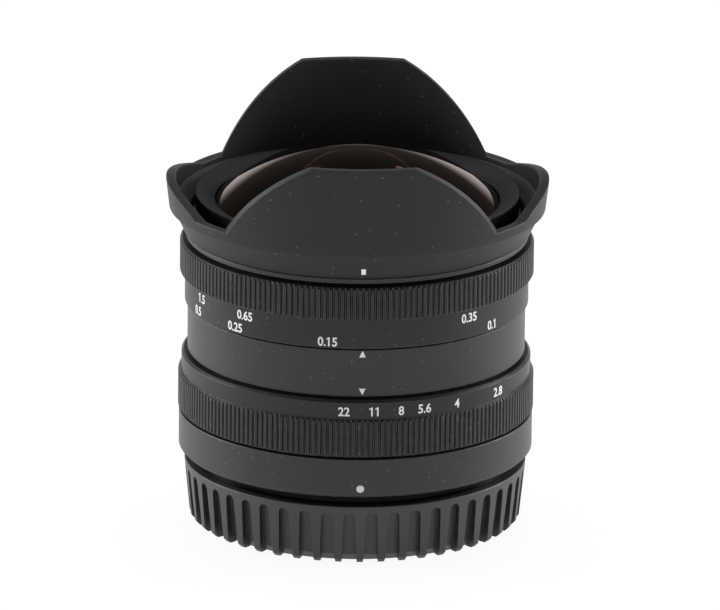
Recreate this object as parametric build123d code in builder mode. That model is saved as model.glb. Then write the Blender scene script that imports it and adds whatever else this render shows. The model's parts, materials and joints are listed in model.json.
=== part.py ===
"""Manual-focus fisheye lens with a petal hood, standing on its rear cap.

Millimetres. The optical axis is +Z, the origin is on the axis at the foot of the rear cap,
and the index line of the barrel faces -Y. Everything stands as photographed: the focus ring
between two of its near marks, the diaphragm one click from closed, the hood and cap locked on.
"""
import os
from math import asin, cos, degrees, pi, radians, sin, sqrt, tan

from build123d import *

# Fits and overruns
RUN_GAP = 0.05
SIDE_GAP = 0.1
FREE_GAP = 0.35
GLASS_GAP = 0.05
CEMENT_GAP = 0.01
OVERRUN = 2.0

# Heights of the outside, stacked from the foot up
CAP_HEIGHT = 10.2
FLANGE_HEIGHT = 1.8
REAR_RING_HEIGHT = 6.7
APERTURE_KNURL_HEIGHT = 6.6
APERTURE_BAND_HEIGHT = 3.25
APERTURE_GAP = 0.45
BAND_HEIGHT = 8.15
FOCUS_BAND_HEIGHT = 4.95
FOCUS_KNURL_HEIGHT = 5.8
RING_GAP = 0.3
COLLAR_GAP = 0.5
COLLAR_HEIGHT = 0.9
FLANGE_Z = CAP_HEIGHT + SIDE_GAP
WEB_Z = FLANGE_Z + FLANGE_HEIGHT
REAR_TOP_Z = WEB_Z + REAR_RING_HEIGHT
APERTURE_Z = REAR_TOP_Z + RING_GAP
APERTURE_BAND_Z = APERTURE_Z + APERTURE_KNURL_HEIGHT
APERTURE_TOP_Z = APERTURE_BAND_Z + APERTURE_BAND_HEIGHT
BAND_Z = APERTURE_TOP_Z + APERTURE_GAP
BAND_TOP_Z = BAND_Z + BAND_HEIGHT
FOCUS_Z = BAND_TOP_Z + RING_GAP
FOCUS_KNURL_Z = FOCUS_Z + FOCUS_BAND_HEIGHT
FOCUS_TOP_Z = FOCUS_KNURL_Z + FOCUS_KNURL_HEIGHT
COLLAR_Z = FOCUS_TOP_Z + COLLAR_GAP
COLLAR_TOP_Z = COLLAR_Z + COLLAR_HEIGHT
HOOD_Z = COLLAR_TOP_Z + SIDE_GAP

# Radii, all stepped outward from the clear radius of the front lens
DOME_CLEAR_R = 24.0
DOME_LIP = 0.9
CELL_WALL = 1.35
CELL_STEP = 2.05
BARREL_WALL = 2.8
BAND_STEP = 1.06
HELICOID_STEP = 0.9
FRONT_WALL = 1.5
APERTURE_WALL = 2.0
APERTURE_KNURL_STEP = 0.55
FOCUS_WALL = 1.9
FOCUS_KNURL_STEP = 0.85
REAR_RING_STEP = 0.15
COLLAR_RUN_GAP = 0.3
COLLAR_TUBE_WALL = 0.8
COLLAR_STEP = 1.4
HOOD_LUG_REACH = 0.65
HOOD_FOOT_WALL = 0.95
DOME_EDGE_R = DOME_CLEAR_R + DOME_LIP
CELL_R = DOME_EDGE_R + GLASS_GAP + CELL_WALL
SLEEVE_R = CELL_R - CELL_STEP
BORE_R = SLEEVE_R + FREE_GAP
TUBE_R = BORE_R + BARREL_WALL
BAND_R = TUBE_R + BAND_STEP
HELICOID_BORE_R = BORE_R + HELICOID_STEP
FRONT_TUBE_R = HELICOID_BORE_R + FRONT_WALL
APERTURE_BORE_R = TUBE_R + RUN_GAP
APERTURE_BAND_R = APERTURE_BORE_R + APERTURE_WALL
APERTURE_KNURL_R = APERTURE_BAND_R + APERTURE_KNURL_STEP
REAR_RING_R = APERTURE_KNURL_R - REAR_RING_STEP
FOCUS_BORE_R = FRONT_TUBE_R + RUN_GAP
FOCUS_BAND_R = FOCUS_BORE_R + FOCUS_WALL
FOCUS_KNURL_R = FOCUS_BAND_R + FOCUS_KNURL_STEP
COLLAR_BORE_R = CELL_R + COLLAR_RUN_GAP
COLLAR_TUBE_R = COLLAR_BORE_R + COLLAR_TUBE_WALL
COLLAR_STRIP_R = COLLAR_TUBE_R + COLLAR_STEP
HOOD_BORE_R = COLLAR_TUBE_R + HOOD_LUG_REACH + SIDE_GAP
HOOD_FOOT_R = HOOD_BORE_R + HOOD_FOOT_WALL

INDEX_ANGLE = -90.0

# Turning: the marks of the diaphragm ring, the two ends of focus, and focusing travel per turn
STOP_ANGLES = (-5.5, 0.0, 4.55, 13.3, 21.3, 33.4, 52.3)
NEAR_END_ANGLE = -50.4
FAR_END_ANGLE = 90.0
FOCUS_LEAD = 2.64
FAR_TRAVEL = FOCUS_LEAD * FAR_END_ANGLE / 360
OPEN_TURN = -max(STOP_ANGLES)
CLOSED_TURN = -min(STOP_ANGLES)

# Ribs, knurls and edges of the outside
APERTURE_RIDGE_COUNT = 195
FOCUS_RIDGE_COUNT = 187
KNURL_DEPTH = 0.34
RIDGE_TOP_SHARE = 0.2
RIDGE_FOOT_SHARE = 0.42
EDGE_CHAMFER = 0.4
BAND_CHAMFER = 0.12

# Rear barrel, with the bead that is lined up with the camera
WEB_THICKNESS = 2.2
WEB_BORE_R = 20.4
REAR_CHAMFER = 0.5
BEAD_R = 0.65
BEAD_RISE = 1.6
BEAD_DEPTH = 0.8
BEAD_PROUD = 0.1
SEAT_Z = WEB_Z + WEB_THICKNESS

# Bayonet mount
MOUNT_BORE_R = 20.0
MOUNT_NECK_WALL = 1.6
MOUNT_NECK_LENGTH = 4.2
MOUNT_LIP_WIDTH = 3.0
MOUNT_LIP_HEIGHT = 1.0
TAB_REACH = 2.4
TAB_HEIGHT = 1.4
TAB_SWEEP = 50.0
TAB_ANGLES = (30.0, 150.0, 270.0)
LOCK_HOLE_R = 1.0
LOCK_HOLE_DEPTH = 1.2
LOCK_HOLE_ANGLE = 190.0
NECK_R = MOUNT_BORE_R + MOUNT_NECK_WALL
TAB_R = NECK_R + TAB_REACH
NECK_END_Z = FLANGE_Z - MOUNT_NECK_LENGTH
TAB_TOP_Z = NECK_END_Z + TAB_HEIGHT

# Screws: shank radius, head radius, head height and length
MOUNT_SCREW = (0.7, 1.3, 0.7, 3.6)
MOUNT_SCREW_ANGLES = (90.0, 210.0, 330.0)
MOUNT_SCREW_CIRCLE_R = 24.6
BARREL_SCREW = (0.6, 1.1, 0.7, 5.7)
BARREL_SCREW_ANGLES = (45.0, 135.0, 225.0, 315.0)
BAFFLE_SCREW = (0.5, 0.85, 0.5, 2.3)
BAFFLE_SCREW_ANGLES = (90.0, 210.0, 330.0)
FOCUS_KEY_SCREW = (0.4, 0.75, 0.4, 3.2)
APERTURE_KEY_SCREW = (0.4, 0.75, 0.4, 4.0)
GUIDE_SCREW = (0.45, 0.85, 0.5, 3.6)
SLOT_DEPTH_SHARE = 0.45
SLOT_WIDTH_SHARE = 0.3

# Rear baffle
BAFFLE_BORE_R = 11.0
BAFFLE_HEIGHT = 1.1

# Rear cap
CAP_TOP_R = 28.85
CAP_FOOT_R = 27.95
CAP_RIB_COUNT = 48
CAP_RIB_START = 4.0
CAP_SLOT_WIDTH = 2.55
CAP_SLOT_TOP_WIDTH = 1.95
CAP_SLOT_DEPTH = 1.0
CAP_SLOT_INSET = 0.9
CAP_SLOT_MARGIN = 1.1
CAP_TOP_BAND = 0.6
CAP_WALL = 1.8
CAP_FLOOR = 1.6
CAP_BEVEL_REACH = 1.15
CAP_BEVEL_HEIGHT = 1.25
CAP_TOE_ROUND = 0.65
CAP_LUG_HEIGHT = 1.3
CAP_LUG_GAP = 0.35
CAP_LUG_RISE = 0.4
CAP_LUG_SWEEP = 46.0
CAP_RECESS_R = 21.0
CAP_RECESS_DEPTH = 0.5

# Helicoid, its retainer and the keys
RETAINER_HEIGHT = 0.95
SPIGOT_HEIGHT = 1.0
SPIGOT_STEP = 0.5
COLLAR_SEAT_DROP = 0.2
FOCUS_KEY_ANGLE = 180.0
FOCUS_KEY_WIDTH = 5.0
FOCUS_KEY_HEIGHT = 3.0
FOCUS_KEY_RISE = 3.7
FOCUS_KEY_SINK = 0.55
FOCUS_KEY_REACH = 0.85
FOCUS_KEY_SCREW_SPREAD = 1.3
GUIDE_KEY_ANGLES = (0.0, 180.0)
GUIDE_KEY_WIDTH = 3.0
GUIDE_KEY_DEPTH = 1.6
GUIDE_KEY_RISE = 6.4
GUIDE_KEY_DROP = 3.1
GUIDE_SCREW_RISE = 1.3
HELICOID_SEAT_Z = FOCUS_Z + FREE_GAP
FRONT_SHOULDER_Z = COLLAR_Z - COLLAR_SEAT_DROP
RETAINER_Z = FRONT_SHOULDER_Z - RETAINER_HEIGHT
SPIGOT_R = FRONT_TUBE_R - SPIGOT_STEP
FOCUS_KEY_Z = FOCUS_Z + FOCUS_KEY_RISE

# Hood and its bayonet
COLLAR_TUBE_HEIGHT = 3.5
HOOD_LUG_HEIGHT = 0.75
HOOD_LUG_SWEEP = 38.0
HOOD_LUG_ANGLES = (30.0, 150.0, 270.0)
HOOD_WALL = 1.65
HOOD_FLARE = 2.0
HOOD_FLARE_MID = 0.9
HOOD_FLARE_HEIGHT = 4.1
HOOD_FLARE_MID_HEIGHT = 2.0
HOOD_LIP = 0.56
HOOD_LIP_RISE = 0.1
HOOD_LEAN_ANGLE = 6.6
HOOD_HEIGHT = 19.9
HOOD_RIM_HEIGHT = 6.0
HOOD_GROOVE_STEP = 0.75
HOOD_GROOVE_HEIGHT = 4.4
HOOD_BOWL_HEIGHT = 5.6
BACK_RIM_RISE = 0.7
BACK_PETAL_RISE = 0.5
LONG_PETAL_TOP_HALF = 8.7
LONG_PETAL_MID_HALF = 17.6
LONG_PETAL_MID_DROP = 6.7
LONG_PETAL_FOOT_HALF = 22.4
SHORT_PETAL_RISE = 3.2
SHORT_PETAL_HALF = 15.9
SHORT_PETAL_CROWN_R = 50.0
SHORT_PETAL_CROWN_HALF = 10.5
HOOD_TOP_Z = HOOD_Z + HOOD_HEIGHT
HOOD_RIM_Z = HOOD_Z + HOOD_RIM_HEIGHT

# Optics barrel: sleeve in the helicoid, front cell, and the tube that holds the small lenses
SLEEVE_WALL = 1.7
SLEEVE_LENGTH = 20.0
CELL_GAP = 0.9
CELL_FLOOR = 0.9
CELL_TOP_RISE = 5.1
CELL_WEB = 2.2
GLASS_TUBE_WALL = 1.85
IRIS_TUBE_WALL = 1.6
IRIS_TUBE_LENGTH = 7.9
CELL_Z = COLLAR_TOP_Z + CELL_GAP
SLEEVE_END_Z = CELL_Z - SLEEVE_LENGTH
DOME_SEAT_Z = CELL_Z + CELL_FLOOR
CELL_TOP_Z = COLLAR_TOP_Z + CELL_TOP_RISE

# Lenses: radius of each face, hollow where negative; thin ones have a thickness at the axis,
# full ones a thickness at the edge
DOME_FACES = (35.5, -15.5)
DOME_THICKNESS = 1.7
SECOND_FACES = (38.0, -9.8)
SECOND_THICKNESS = 1.5
SECOND_HOLLOW_R = 8.6
SECOND_EDGE_R = 12.5
SECOND_RING_STEP = 0.7
SECOND_RING_HEIGHT = 1.05
SECOND_RING_DROP = 0.2
THIRD_FACES = (60.0, -11.0)
THIRD_THICKNESS = 1.2
THIRD_HOLLOW_R = 7.2
THIRD_EDGE_R = 9.15
FOURTH_FACES = (14.0, 18.0)
FOURTH_EDGE = 0.8
FIFTH_FACES = (-18.0, 60.0)
FIFTH_THICKNESS = 0.9
FOURTH_EDGE_R = 8.0
SIXTH_FACES = (22.0, 22.0)
SIXTH_EDGE = 0.6
SEVENTH_FACES = (-30.0, -13.0)
SEVENTH_THICKNESS = 0.9
SEVENTH_HOLLOW_R = 7.4
EIGHTH_FACES = (13.0, 26.0)
EIGHTH_EDGE = 0.8
NINTH_FACES = (26.0, 30.0)
NINTH_EDGE = 0.6
TENTH_FACES = (-30.0, 60.0)
TENTH_THICKNESS = 1.0
REAR_EDGE_R = 8.0
LAST_EDGE_R = 8.6
LEDGE_WIDTH = 0.75
SPACER_WALL = 0.6
FRONT_SPACER_HEIGHT = 2.5
MIDDLE_SPACER_HEIGHT = 3.1
REAR_SPACER_HEIGHT = 2.5
REAR_RIB_HEIGHT = 2.7
REAR_RING_INSET = 0.3
SMALL_RING_HEIGHT = 1.6
LAST_RING_HEIGHT = 1.0

# Diaphragm: base plate, blades, drive ring and clip, stacked from the front down
IRIS_RISE = 0.25
BASE_PLATE_THICKNESS = 1.0
BASE_PLATE_BORE_R = 5.2
BLADE_COUNT = 7
BLADE_THICKNESS = 0.1
BLADE_STEP = 0.15
BLADE_GAP = 0.1
BLADE_INNER_R = 4.6
BLADE_WIDTH = 4.8
BLADE_MIDDLE_ANGLE = 55.0
BLADE_HALF_ANGLE = 63.0
BLADE_RATIO = 0.35
PIVOT_STEP = 0.9
PIVOT_PIN_R = 0.35
DRIVE_STEP = 0.9
DRIVE_PIN_R = 0.3
DRIVE_PIN_ANGLE = 22.2
EAR_MARGIN = 0.4
IRIS_MARGIN = 0.7
DRIVE_RING_THICKNESS = 0.9
DRIVE_RING_WIDTH = 3.5
DRIVE_SLOT_GAP = 0.08
IRIS_CLIP_THICKNESS = 0.7
IRIS_CLIP_WIDTH = 2.6
LEVER_WIDTH = 1.4
LEVER_END_GAP = 0.3
LEVER_ROOT = 0.6
PIN_END_GAP = 0.1
SLOT_END_ANGLE = 1.0
CLIP_OPEN_HALF_ANGLE = 9.0
BLADE_OUTER_R = BLADE_INNER_R + BLADE_WIDTH
PIVOT_CIRCLE_R = BLADE_OUTER_R + PIVOT_STEP
DRIVE_CIRCLE_R = PIVOT_CIRCLE_R + DRIVE_STEP
IRIS_BORE_R = DRIVE_CIRCLE_R + DRIVE_PIN_R + EAR_MARGIN + IRIS_MARGIN
IRIS_TUBE_R = IRIS_BORE_R + IRIS_TUBE_WALL
IRIS_Z = BAND_Z - IRIS_RISE
PLATE_Z = IRIS_Z - BASE_PLATE_THICKNESS
DRIVE_TOP_Z = PLATE_Z - BLADE_GAP - BLADE_STEP * (BLADE_COUNT - 1) - BLADE_THICKNESS - BLADE_GAP
DRIVE_Z = DRIVE_TOP_Z - DRIVE_RING_THICKNESS
CLIP_TOP_Z = DRIVE_Z - SIDE_GAP
CLIP_Z = CLIP_TOP_Z - IRIS_CLIP_THICKNESS
LEVER_Z = DRIVE_Z + DRIVE_RING_THICKNESS / 2
IRIS_TUBE_Z = IRIS_Z - IRIS_TUBE_LENGTH

# Key that carries the turn of the diaphragm ring through the barrel to the lever
KEY_ANGLE = 90.0
APERTURE_KEY_WIDTH = 7.0
APERTURE_KEY_HEIGHT = 3.4
APERTURE_KEY_SINK = 0.95
APERTURE_KEY_REACH = 2.0
APERTURE_FORK_DEPTH = 2.2
APERTURE_SCREW_SPREAD = 2.3

# Click stop
CLICK_ANGLE = 225.0
CLICK_RISE = 2.5
BALL_R = 0.75
BALL_POCKET_GAP = 0.1
BALL_GROOVE_DEPTH = 0.45
BALL_TRAVEL = 0.25
CLICK_POCKET_DEPTH = 2.4
CLICK_SPRING_WALL = 0.25
CLICK_Z = APERTURE_Z + CLICK_RISE

# Rear lens cell and front retaining ring
REAR_CELL_WALL = 1.6
REAR_CELL_FLANGE = 1.0
FRONT_RING_R = COLLAR_TUBE_R
FRONT_RING_HEIGHT = 1.55
FRONT_RING_LIP = 0.25
FRONT_RING_SKIRT = 0.5


def sagitta(radius, half_width):
    """Height of a spherical cap of the given face radius at a half width."""
    return radius - sqrt(radius ** 2 - half_width ** 2)


def half_section(*points):
    """Closed outline in a plane through the axis, as (radius, height) points."""
    with BuildSketch(Plane.XZ) as section:
        with BuildLine():
            Polyline(*points, close=True)
        make_face()
    return section.sketch


def turned(*points):
    """Solid of revolution about the axis from (radius, height) points."""
    with BuildPart() as piece:
        revolve(half_section(*points), axis=Axis.Z)
    return piece.part


def sector(inner_r, outer_r, middle_angle, half_angle, z):
    """Flat piece of a ring, to one height, about one direction."""
    start = middle_angle - half_angle
    with BuildSketch(Plane.XY.offset(z)) as piece:
        with BuildLine():
            inner = CenterArc((0, 0), inner_r, start, 2 * half_angle)
            outer = CenterArc((0, 0), outer_r, start, 2 * half_angle)
            Line(inner @ 0, outer @ 0)
            Line(inner @ 1, outer @ 1)
        make_face()
    return piece.sketch


def radial_plane(angle, radius, z, way=1):
    """Plane square to a radius, its normal pointing away from the axis, or to it if way is -1."""
    direction = Vector(cos(radians(angle)), sin(radians(angle)), 0)
    origin = Vector(radius * direction.X, radius * direction.Y, z)
    return Plane(origin=origin, x_dir=Vector(-direction.Y, direction.X, 0), z_dir=direction * way)


def half_angle_of(width, radius):
    """Half the angle, in degrees, that a width covers at a radius."""
    return degrees(asin(width / 2 / radius))


def ridged_outline(outer_r, count):
    """Outline of a finely ridged ring: flat-topped ridges with sloping sides."""
    pitch = 2 * pi / count
    root_r = outer_r - KNURL_DEPTH
    corners = (
        (-RIDGE_FOOT_SHARE, root_r),
        (-RIDGE_TOP_SHARE, outer_r),
        (RIDGE_TOP_SHARE, outer_r),
        (RIDGE_FOOT_SHARE, root_r),
    )
    points = []
    for step in range(count):
        for share, radius in corners:
            angle = (step + share) * pitch
            points.append((radius * cos(angle), radius * sin(angle)))
    with BuildSketch() as outline:
        with BuildLine():
            Polyline(*points, close=True)
        make_face()
    return outline.sketch


def bevelled_knurl(outer_r, inner_r, bottom, top, count):
    """Knurled ring with both ends of its ridges bevelled."""
    with BuildPart() as knurl:
        with BuildSketch(Plane.XY.offset(bottom)):
            add(ridged_outline(outer_r, count))
            Circle(inner_r, mode=Mode.SUBTRACT)
        extrude(amount=top - bottom)
        envelope = half_section(
            (inner_r, bottom), (outer_r - EDGE_CHAMFER, bottom), (outer_r, bottom + EDGE_CHAMFER),
            (outer_r, top - EDGE_CHAMFER), (outer_r - EDGE_CHAMFER, top), (inner_r, top),
        )
        revolve(envelope, axis=Axis.Z, mode=Mode.INTERSECT)
    return knurl.part


def screws(screw, planes):
    """Pan-head screws with a slot, one on each plane, driven in along its normal."""
    shank_r, head_r, head_height, length = screw
    with BuildPart() as group:
        for plane in planes:
            with BuildSketch(plane):
                Circle(head_r)
            extrude(amount=head_height)
            with BuildSketch(plane):
                Circle(shank_r)
            extrude(amount=length)
            with BuildSketch(plane):
                Rectangle(2 * head_r, 2 * head_r * SLOT_WIDTH_SHARE)
            extrude(amount=head_height * SLOT_DEPTH_SHARE, mode=Mode.SUBTRACT)
    return group.part


def screw_holes(screw, planes):
    """Cutter for the seats of a group of screws: head recess and shank hole."""
    shank_r, head_r, head_height, length = screw
    with BuildPart() as group:
        for plane in planes:
            with BuildSketch(plane.offset(-OVERRUN)):
                Circle(head_r + RUN_GAP)
            extrude(amount=OVERRUN + head_height)
            with BuildSketch(plane):
                Circle(shank_r)
            extrude(amount=length)
    return group.part


def shank_holes(screw, planes):
    """Cutter for plain holes that the shanks of a group of screws pass into."""
    shank_r, length = screw[0], screw[3]
    with BuildPart() as group:
        for plane in planes:
            with BuildSketch(plane):
                Circle(shank_r)
            extrude(amount=length)
    return group.part


def upward_planes(angles, radius, z):
    """Planes facing +Z at places on a circle."""
    places = [(radius * cos(radians(angle)), radius * sin(radians(angle)), z) for angle in angles]
    return [Plane(origin=place) for place in places]


def face_points(vertex_z, face, outward_sign, reach):
    """Middle and end of half a lens face that starts on the axis at its vertex."""
    way = -outward_sign if face > 0 else outward_sign
    radius = abs(face)
    middle = (reach / 2, vertex_z + way * sagitta(radius, reach / 2))
    end = (reach, vertex_z + way * sagitta(radius, reach))
    return middle, end


def lens(front_z, rear_z, faces, edge_r, front_reach=None, rear_reach=None):
    """Lens between two vertices, each face round out to its reach and flat beyond it."""
    front_middle, front_end = face_points(front_z, faces[0], 1, front_reach or edge_r)
    rear_middle, rear_end = face_points(rear_z, faces[1], -1, rear_reach or edge_r)
    rim = [front_end]
    if front_reach:
        rim.append((edge_r, front_end[1]))
    if rear_reach:
        rim.append((edge_r, rear_end[1]))
    rim.append(rear_end)
    with BuildPart() as glass:
        with BuildSketch(Plane.XZ):
            with BuildLine():
                ThreePointArc((0, front_z), front_middle, front_end)
                Polyline(*rim)
                ThreePointArc(rear_end, rear_middle, (0, rear_z))
                Line((0, rear_z), (0, front_z))
            make_face()
        revolve(axis=Axis.Z)
    return glass.part


def save(name, part):
    """Write one piece under its name."""
    part.label = name
    export_step(part, f"parts/{name}.step")


# Places of the lenses, from the front lens down to the last one before the mount
DOME_FRONT_Z = CELL_TOP_Z - GLASS_GAP + sagitta(DOME_FACES[0], DOME_CLEAR_R)
DOME_REAR_Z = DOME_FRONT_Z - DOME_THICKNESS
DOME_HOLLOW_DEPTH = DOME_REAR_Z - DOME_SEAT_Z
DOME_HOLLOW_R = sqrt(2 * -DOME_FACES[1] * DOME_HOLLOW_DEPTH - DOME_HOLLOW_DEPTH ** 2)
SECOND_RING_R = SECOND_EDGE_R + SECOND_RING_STEP
SECOND_RING_BORE_R = SECOND_EDGE_R - SPACER_WALL
SECOND_RING_TOP_Z = DOME_SEAT_Z - SECOND_RING_DROP
SECOND_RING_Z = SECOND_RING_TOP_Z - SECOND_RING_HEIGHT
SECOND_FRONT_Z = SECOND_RING_Z - GLASS_GAP + sagitta(SECOND_FACES[0], SECOND_RING_BORE_R)
SECOND_REAR_Z = SECOND_FRONT_Z - SECOND_THICKNESS
SECOND_SEAT_Z = SECOND_REAR_Z - sagitta(-SECOND_FACES[1], SECOND_HOLLOW_R)
FRONT_SPACER_BORE_R = THIRD_EDGE_R - SPACER_WALL
FRONT_SPACER_Z = SECOND_SEAT_Z - FRONT_SPACER_HEIGHT
THIRD_FRONT_Z = FRONT_SPACER_Z - GLASS_GAP + sagitta(THIRD_FACES[0], FRONT_SPACER_BORE_R)
THIRD_REAR_Z = THIRD_FRONT_Z - THIRD_THICKNESS
THIRD_SEAT_Z = THIRD_REAR_Z - sagitta(-THIRD_FACES[1], THIRD_HOLLOW_R)
MIDDLE_SPACER_BORE_R = FOURTH_EDGE_R - SPACER_WALL
MIDDLE_SPACER_Z = THIRD_SEAT_Z - MIDDLE_SPACER_HEIGHT
FOURTH_FRONT_Z = MIDDLE_SPACER_Z - GLASS_GAP + sagitta(FOURTH_FACES[0], MIDDLE_SPACER_BORE_R)
FOURTH_SAGITTAS = sagitta(FOURTH_FACES[0], FOURTH_EDGE_R) + sagitta(FOURTH_FACES[1], FOURTH_EDGE_R)
FOURTH_REAR_Z = FOURTH_FRONT_Z - FOURTH_EDGE - FOURTH_SAGITTAS
FIFTH_FRONT_Z = FOURTH_REAR_Z - CEMENT_GAP
FIFTH_REAR_Z = FIFTH_FRONT_Z - FIFTH_THICKNESS
FRONT_LEDGE_R = FOURTH_EDGE_R - LEDGE_WIDTH
FRONT_LEDGE_Z = FIFTH_REAR_Z + sagitta(FIFTH_FACES[1], FRONT_LEDGE_R) - GLASS_GAP
REAR_CELL_TOP_Z = CLIP_Z - SIDE_GAP
REAR_BORE_R = REAR_EDGE_R + GLASS_GAP
REAR_SPACER_BORE_R = REAR_EDGE_R - SPACER_WALL
REAR_RING_TOP_Z = REAR_CELL_TOP_Z - REAR_RING_INSET
REAR_RING_Z = REAR_RING_TOP_Z - SMALL_RING_HEIGHT
SIXTH_FRONT_Z = REAR_RING_Z - GLASS_GAP + sagitta(SIXTH_FACES[0], REAR_SPACER_BORE_R)
SIXTH_SAGITTAS = sagitta(SIXTH_FACES[0], REAR_EDGE_R) + sagitta(SIXTH_FACES[1], REAR_EDGE_R)
SIXTH_REAR_Z = SIXTH_FRONT_Z - SIXTH_EDGE - SIXTH_SAGITTAS
REAR_SPACER_TOP_Z = SIXTH_REAR_Z + sagitta(SIXTH_FACES[1], REAR_SPACER_BORE_R) - GLASS_GAP
REAR_SPACER_Z = REAR_SPACER_TOP_Z - REAR_SPACER_HEIGHT
SEVENTH_FRONT_Z = REAR_SPACER_Z - GLASS_GAP - sagitta(-SEVENTH_FACES[0], SEVENTH_HOLLOW_R)
SEVENTH_REAR_Z = SEVENTH_FRONT_Z - SEVENTH_THICKNESS
EIGHTH_FRONT_Z = SEVENTH_REAR_Z - CEMENT_GAP
EIGHTH_SAGITTAS = sagitta(EIGHTH_FACES[0], REAR_EDGE_R) + sagitta(EIGHTH_FACES[1], REAR_EDGE_R)
EIGHTH_REAR_Z = EIGHTH_FRONT_Z - EIGHTH_EDGE - EIGHTH_SAGITTAS
REAR_LEDGE_R = REAR_EDGE_R - LEDGE_WIDTH
REAR_LEDGE_Z = EIGHTH_REAR_Z + sagitta(EIGHTH_FACES[1], REAR_LEDGE_R) - GLASS_GAP
LAST_SEAT_Z = REAR_LEDGE_Z - REAR_RIB_HEIGHT
NINTH_FRONT_Z = LAST_SEAT_Z - GLASS_GAP + sagitta(NINTH_FACES[0], REAR_LEDGE_R)
NINTH_SAGITTAS = sagitta(NINTH_FACES[0], LAST_EDGE_R) + sagitta(NINTH_FACES[1], LAST_EDGE_R)
NINTH_REAR_Z = NINTH_FRONT_Z - NINTH_EDGE - NINTH_SAGITTAS
TENTH_FRONT_Z = NINTH_REAR_Z - CEMENT_GAP
TENTH_REAR_Z = TENTH_FRONT_Z - TENTH_THICKNESS
LAST_RING_BORE_R = LAST_EDGE_R - SPACER_WALL
LAST_RING_TOP_Z = TENTH_REAR_Z + sagitta(TENTH_FACES[1], LAST_RING_BORE_R) - GLASS_GAP
LAST_RING_Z = LAST_RING_TOP_Z - LAST_RING_HEIGHT
REAR_CELL_END_Z = LAST_RING_Z - SIDE_GAP

# Places of the screws
MOUNT_SCREW_PLANES = upward_planes(MOUNT_SCREW_ANGLES, MOUNT_SCREW_CIRCLE_R, FLANGE_Z)
BARREL_SCREW_CIRCLE_R = (BORE_R + TUBE_R) / 2
BARREL_SCREW_PLANES = upward_planes(BARREL_SCREW_ANGLES, BARREL_SCREW_CIRCLE_R, WEB_Z)
BAFFLE_Z = WEB_Z - MOUNT_LIP_HEIGHT - BAFFLE_HEIGHT
BAFFLE_SCREW_CIRCLE_R = MOUNT_BORE_R - MOUNT_LIP_WIDTH / 2
BAFFLE_SCREW_PLANES = upward_planes(BAFFLE_SCREW_ANGLES, BAFFLE_SCREW_CIRCLE_R, BAFFLE_Z - BAFFLE_SCREW[2])
GUIDE_KEY_Z = BAND_Z - GUIDE_KEY_DROP
GUIDE_SCREW_Z = GUIDE_KEY_Z + GUIDE_SCREW_RISE
GUIDE_SCREW_HEAD_R = TUBE_R - RUN_GAP
GUIDE_SCREW_PLANES = [
    radial_plane(angle, GUIDE_SCREW_HEAD_R, GUIDE_SCREW_Z, -1) for angle in GUIDE_KEY_ANGLES
]
GUIDE_KEY_R = BORE_R - GUIDE_KEY_DEPTH
FOCUS_KEY_R = HELICOID_BORE_R - RUN_GAP - FOCUS_KEY_SINK
FOCUS_KEY_TOP_R = FOCUS_BORE_R + FOCUS_KEY_REACH
FOCUS_SCREW_TURN = half_angle_of(2 * FOCUS_KEY_SCREW_SPREAD, FOCUS_KEY_TOP_R)
FOCUS_SCREW_ANGLES = (FOCUS_KEY_ANGLE - FOCUS_SCREW_TURN, FOCUS_KEY_ANGLE + FOCUS_SCREW_TURN)
FOCUS_SCREW_Z = FOCUS_KEY_Z + FOCUS_KEY_HEIGHT / 2
FOCUS_SCREW_PLANES = [radial_plane(angle, FOCUS_KEY_TOP_R, FOCUS_SCREW_Z, -1) for angle in FOCUS_SCREW_ANGLES]
APERTURE_KEY_Z = LEVER_Z - APERTURE_KEY_HEIGHT / 2
APERTURE_KEY_TOP_Y = APERTURE_BORE_R + APERTURE_KEY_SINK
APERTURE_KEY_FOOT_Y = BORE_R - APERTURE_KEY_REACH
APERTURE_SCREW_Y = APERTURE_KEY_FOOT_Y + APERTURE_FORK_DEPTH
APERTURE_SCREW_PLANES = [
    Plane(origin=(x, APERTURE_SCREW_Y, LEVER_Z), x_dir=(1, 0, 0), z_dir=(0, 1, 0))
    for x in (-APERTURE_SCREW_SPREAD, APERTURE_SCREW_SPREAD)
]


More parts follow.
